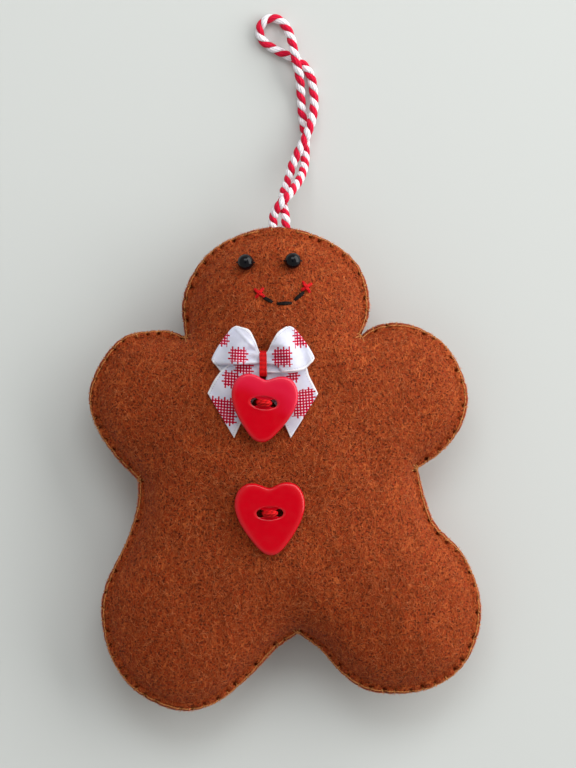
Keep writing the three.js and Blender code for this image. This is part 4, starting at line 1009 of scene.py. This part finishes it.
def tieStrands():
    # turns of thread round the gathered ribbon, each a flattened loop seen from its side
    a = np.linspace(0, 2 * np.pi, 48)
    cosine, sine = np.cos(a), np.sin(a)
    along, up = (np.sign(wave) * np.abs(wave) ** power for wave, power in ((cosine, 0.7), (sine, 0.55)))
    low, high = tie["low"], tie["high"]
    slope = (feltTop(knot[0], knot[1] + 3) - feltTop(knot[0], knot[1] - 3)) / 6
    y = (bow["waist"] / 2 + tie["beyond"]) * along
    z = feltTop(*knot) + (low + high) / 2 + (high - low) / 2 * up + slope * y
    shifts = [number * tie["spacing"] + tie["sway"] * np.sin(a + number) for number in range(tie["turns"])]
    paths = [np.column_stack([knot[0] + tie["first"] + shift, knot[1] + y, z]) for shift in shifts]
    return strands(paths, tie["radius"], 8, up=(1, 0, 0))


ribbonPiece()
makePiece("bow_tie_strands", tieStrands(), redFloss, "bow_tie_thread")
print("bow tied")

# two heart buttons: places and turns, then the sizes that they share
hearts = dict(
    upper=dict(width=16.4, length=16.6, place=(-5.14, 16.2, 28.42), tilt=(1.27, -1.15, -5.0)),
    lower=dict(width=17.3, length=17.9, place=(-3.626, -10.83, 27.23), tilt=(2.35, -1.64, 2.0)))
heart = dict(thickness=2.6, waist=0.56, spacing=4.6, bore=2.0, rise=1.5, dish=(3.6, 1.62), dishDepth=0.42, floss=0.33)
# Bezier curves of the right half of the outline, and the rim's section, in shares of the size
heartSides = [((0, 0.93), (0.07, 0.93), (0.13, 1.0), (0.25, 1.0)), ((0.25, 1.0), (0.40, 1.0), (0.5, 0.87), (0.5, 0.70)),
              ((0.5, 0.70), (0.5, 0.5), (0.33, 0.27), (0.2, 0.115)), ((0.2, 0.115), (0.12, 0.025), (0.06, 0), (0, 0))]
heartSection = np.array([(0.0, 0.0), (0.93, 0.0), (0.985, 0.1), (1, 0.27), (1, 0.56), (0.985, 0.78), (0.95, 0.895),
                         (0.88, 0.94), (0.55, 0.975), (0.0, 1.0)])


def heartEdge(steps):
    t = np.linspace(0, 1, steps + 1)[:, None]
    right = [(1 - t) ** 3 * a + 3 * (1 - t) ** 2 * t * b + 3 * (1 - t) * t ** 2 * c + t ** 3 * d
             for a, b, c, d in np.array(heartSides)]
    right = np.vstack([right[0], *(half[1:] for half in right[1:])])
    return np.vstack([right, (right * (-1, 1))[-2:0:-1]])[::-1]


def tilted(points, given):
    return points @ np.array(Euler([math.radians(a) for a in given["tilt"]], "YXZ").to_matrix()).T + given["place"]


def heartFinish():
    material = newFinish("redButton", (0.50, 0.0012, 0.010), 0.22, Specular_IOR_Level=0.36)
    mm = millimetres(material)
    # painted reflection: the upper button is a little paler towards its upper right, as if it reflected light from
    # above
    x, y, _ = split(mm)
    up = (x + 4.4) * 0.45 + y + noise(mm, 0.12, 1.0) * 8.0 - 4.0
    colour = mixColour(spread(up, 14.1, 20.6), (0.56, 0.0004, 0.008), (0.66, 0.010, 0.042))
    gloss = spread(noise(mm, 0.5, 3.0, 0.6), 0.3, 0.7, 0.13, 0.22)
    return finished(material, colour, gloss, noise(mm, 0.35, 1.0), 0.06)


def heartPiece(name, given, finish):
    # the outline shrinks along the section from the middle of the back round the rim to the middle of the dish
    thick = heart["thickness"]
    edge = (heartEdge(32) - (0, heart["waist"])) * (given["width"], given["length"])
    section = (smoothCurve(heartSection * (8, thick), 90) / (8, thick))[1:-1]
    rise = (0.5 - heart["waist"]) * given["length"] + heart["rise"]
    onTop = section[:, 1] > 0.5
    grid = np.dstack([edge * share for share in section[:, 0]]).transpose(2, 0, 1)
    grid = np.dstack([grid, np.broadcast_to(section[:, 1:] * thick, grid.shape[:2])])
    # points of the face slide towards the middle of the dish, so that the rings close round it
    grid[..., 1] += (rise * (1 - softStep(section[:, 0], 0.0, 0.75)) * onTop)[:, None]
    reach = np.hypot(grid[..., 0] / heart["dish"][0], (grid[..., 1] - rise) / heart["dish"][1])
    grid[..., 2] -= heart["dishDepth"] * softStep(reach, 1.12, 0.72) * onTop[:, None]
    rows, columns = grid.shape[:2]
    tip = rows * columns
    points = np.concatenate([grid.reshape(-1, 3), [(0, 0, 0), (0, rise, thick - heart["dishDepth"])]])
    fans = np.concatenate([fan(0, columns, tip)[:, ::-1], fan(tip - columns, columns, tip + 1)])
    shape = points, [gridFaces(rows, columns)[0], fans], None
    blank = makePiece("heart_" + name, shape, finish, "heart_button_" + name, body=None)
    for side in (-1, 1):
        bpy.ops.mesh.primitive_cylinder_add(vertices=40, radius=heart["bore"] / 2 * 0.001, depth=0.012,
                                            location=(side * heart["spacing"] / 2 * 0.001, rise * 0.001, 0.0013))
        drill = bpy.context.object
        cut = blank.modifiers.new("hole", "BOOLEAN")
        cut.operation, cut.object, cut.solver = "DIFFERENCE", drill, "EXACT"
        drilled = bpy.data.meshes.new_from_object(blank.evaluated_get(bpy.context.evaluated_depsgraph_get()))
        blank.modifiers.clear()
        blank.data = drilled
        bpy.data.objects.remove(drill)
    mesh = blank.data
    place = np.zeros(len(mesh.vertices) * 3, np.float32)
    mesh.vertices.foreach_get("co", place)
    mesh.vertices.foreach_set("co", (tilted(place.reshape(-1, 3) * 1000, given) * 0.001).astype(np.float32).ravel())
    mesh.polygons.foreach_set("use_smooth", np.ones(len(mesh.polygons), bool))
    mesh.set_sharp_from_angle(angle=math.radians(38))
    mesh.update()
    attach(blank, "figure")
    # three strands of floss up one hole, over the bridge and down the other
    half, over = heart["spacing"] / 2 - 0.62, thick + 0.42
    paths = []
    for aside, extra in ((-0.50, 0.0), (0.46, 0.05), (-0.02, 0.42)):
        up = [(-half, aside * 0.3, -0.6), (-half, aside * 0.3, 1.6),
              (0.12 - half, aside * 0.4, over - 0.45 + extra * 0.5), (-half * 0.55, aside, over + extra)]
        down = [(-x, y, z) for x, y, z in up[::-1]]
        paths.append(smoothCurve(np.array(up + [(0, aside * 1.05, over + 0.16 + extra)] + down) + (0, rise, 0), 60))
    points, faces, uvs = strands(paths, heart["floss"], 10, up=(0, 1, 0))
    shape = tilted(points, given), faces, uvs
    makePiece("button_floss_" + name, shape, redFloss, "button_thread_" + name)


buttonRed = heartFinish()
for name, given in hearts.items():
    heartPiece(name, given, buttonRed)
print("buttons sewn on")
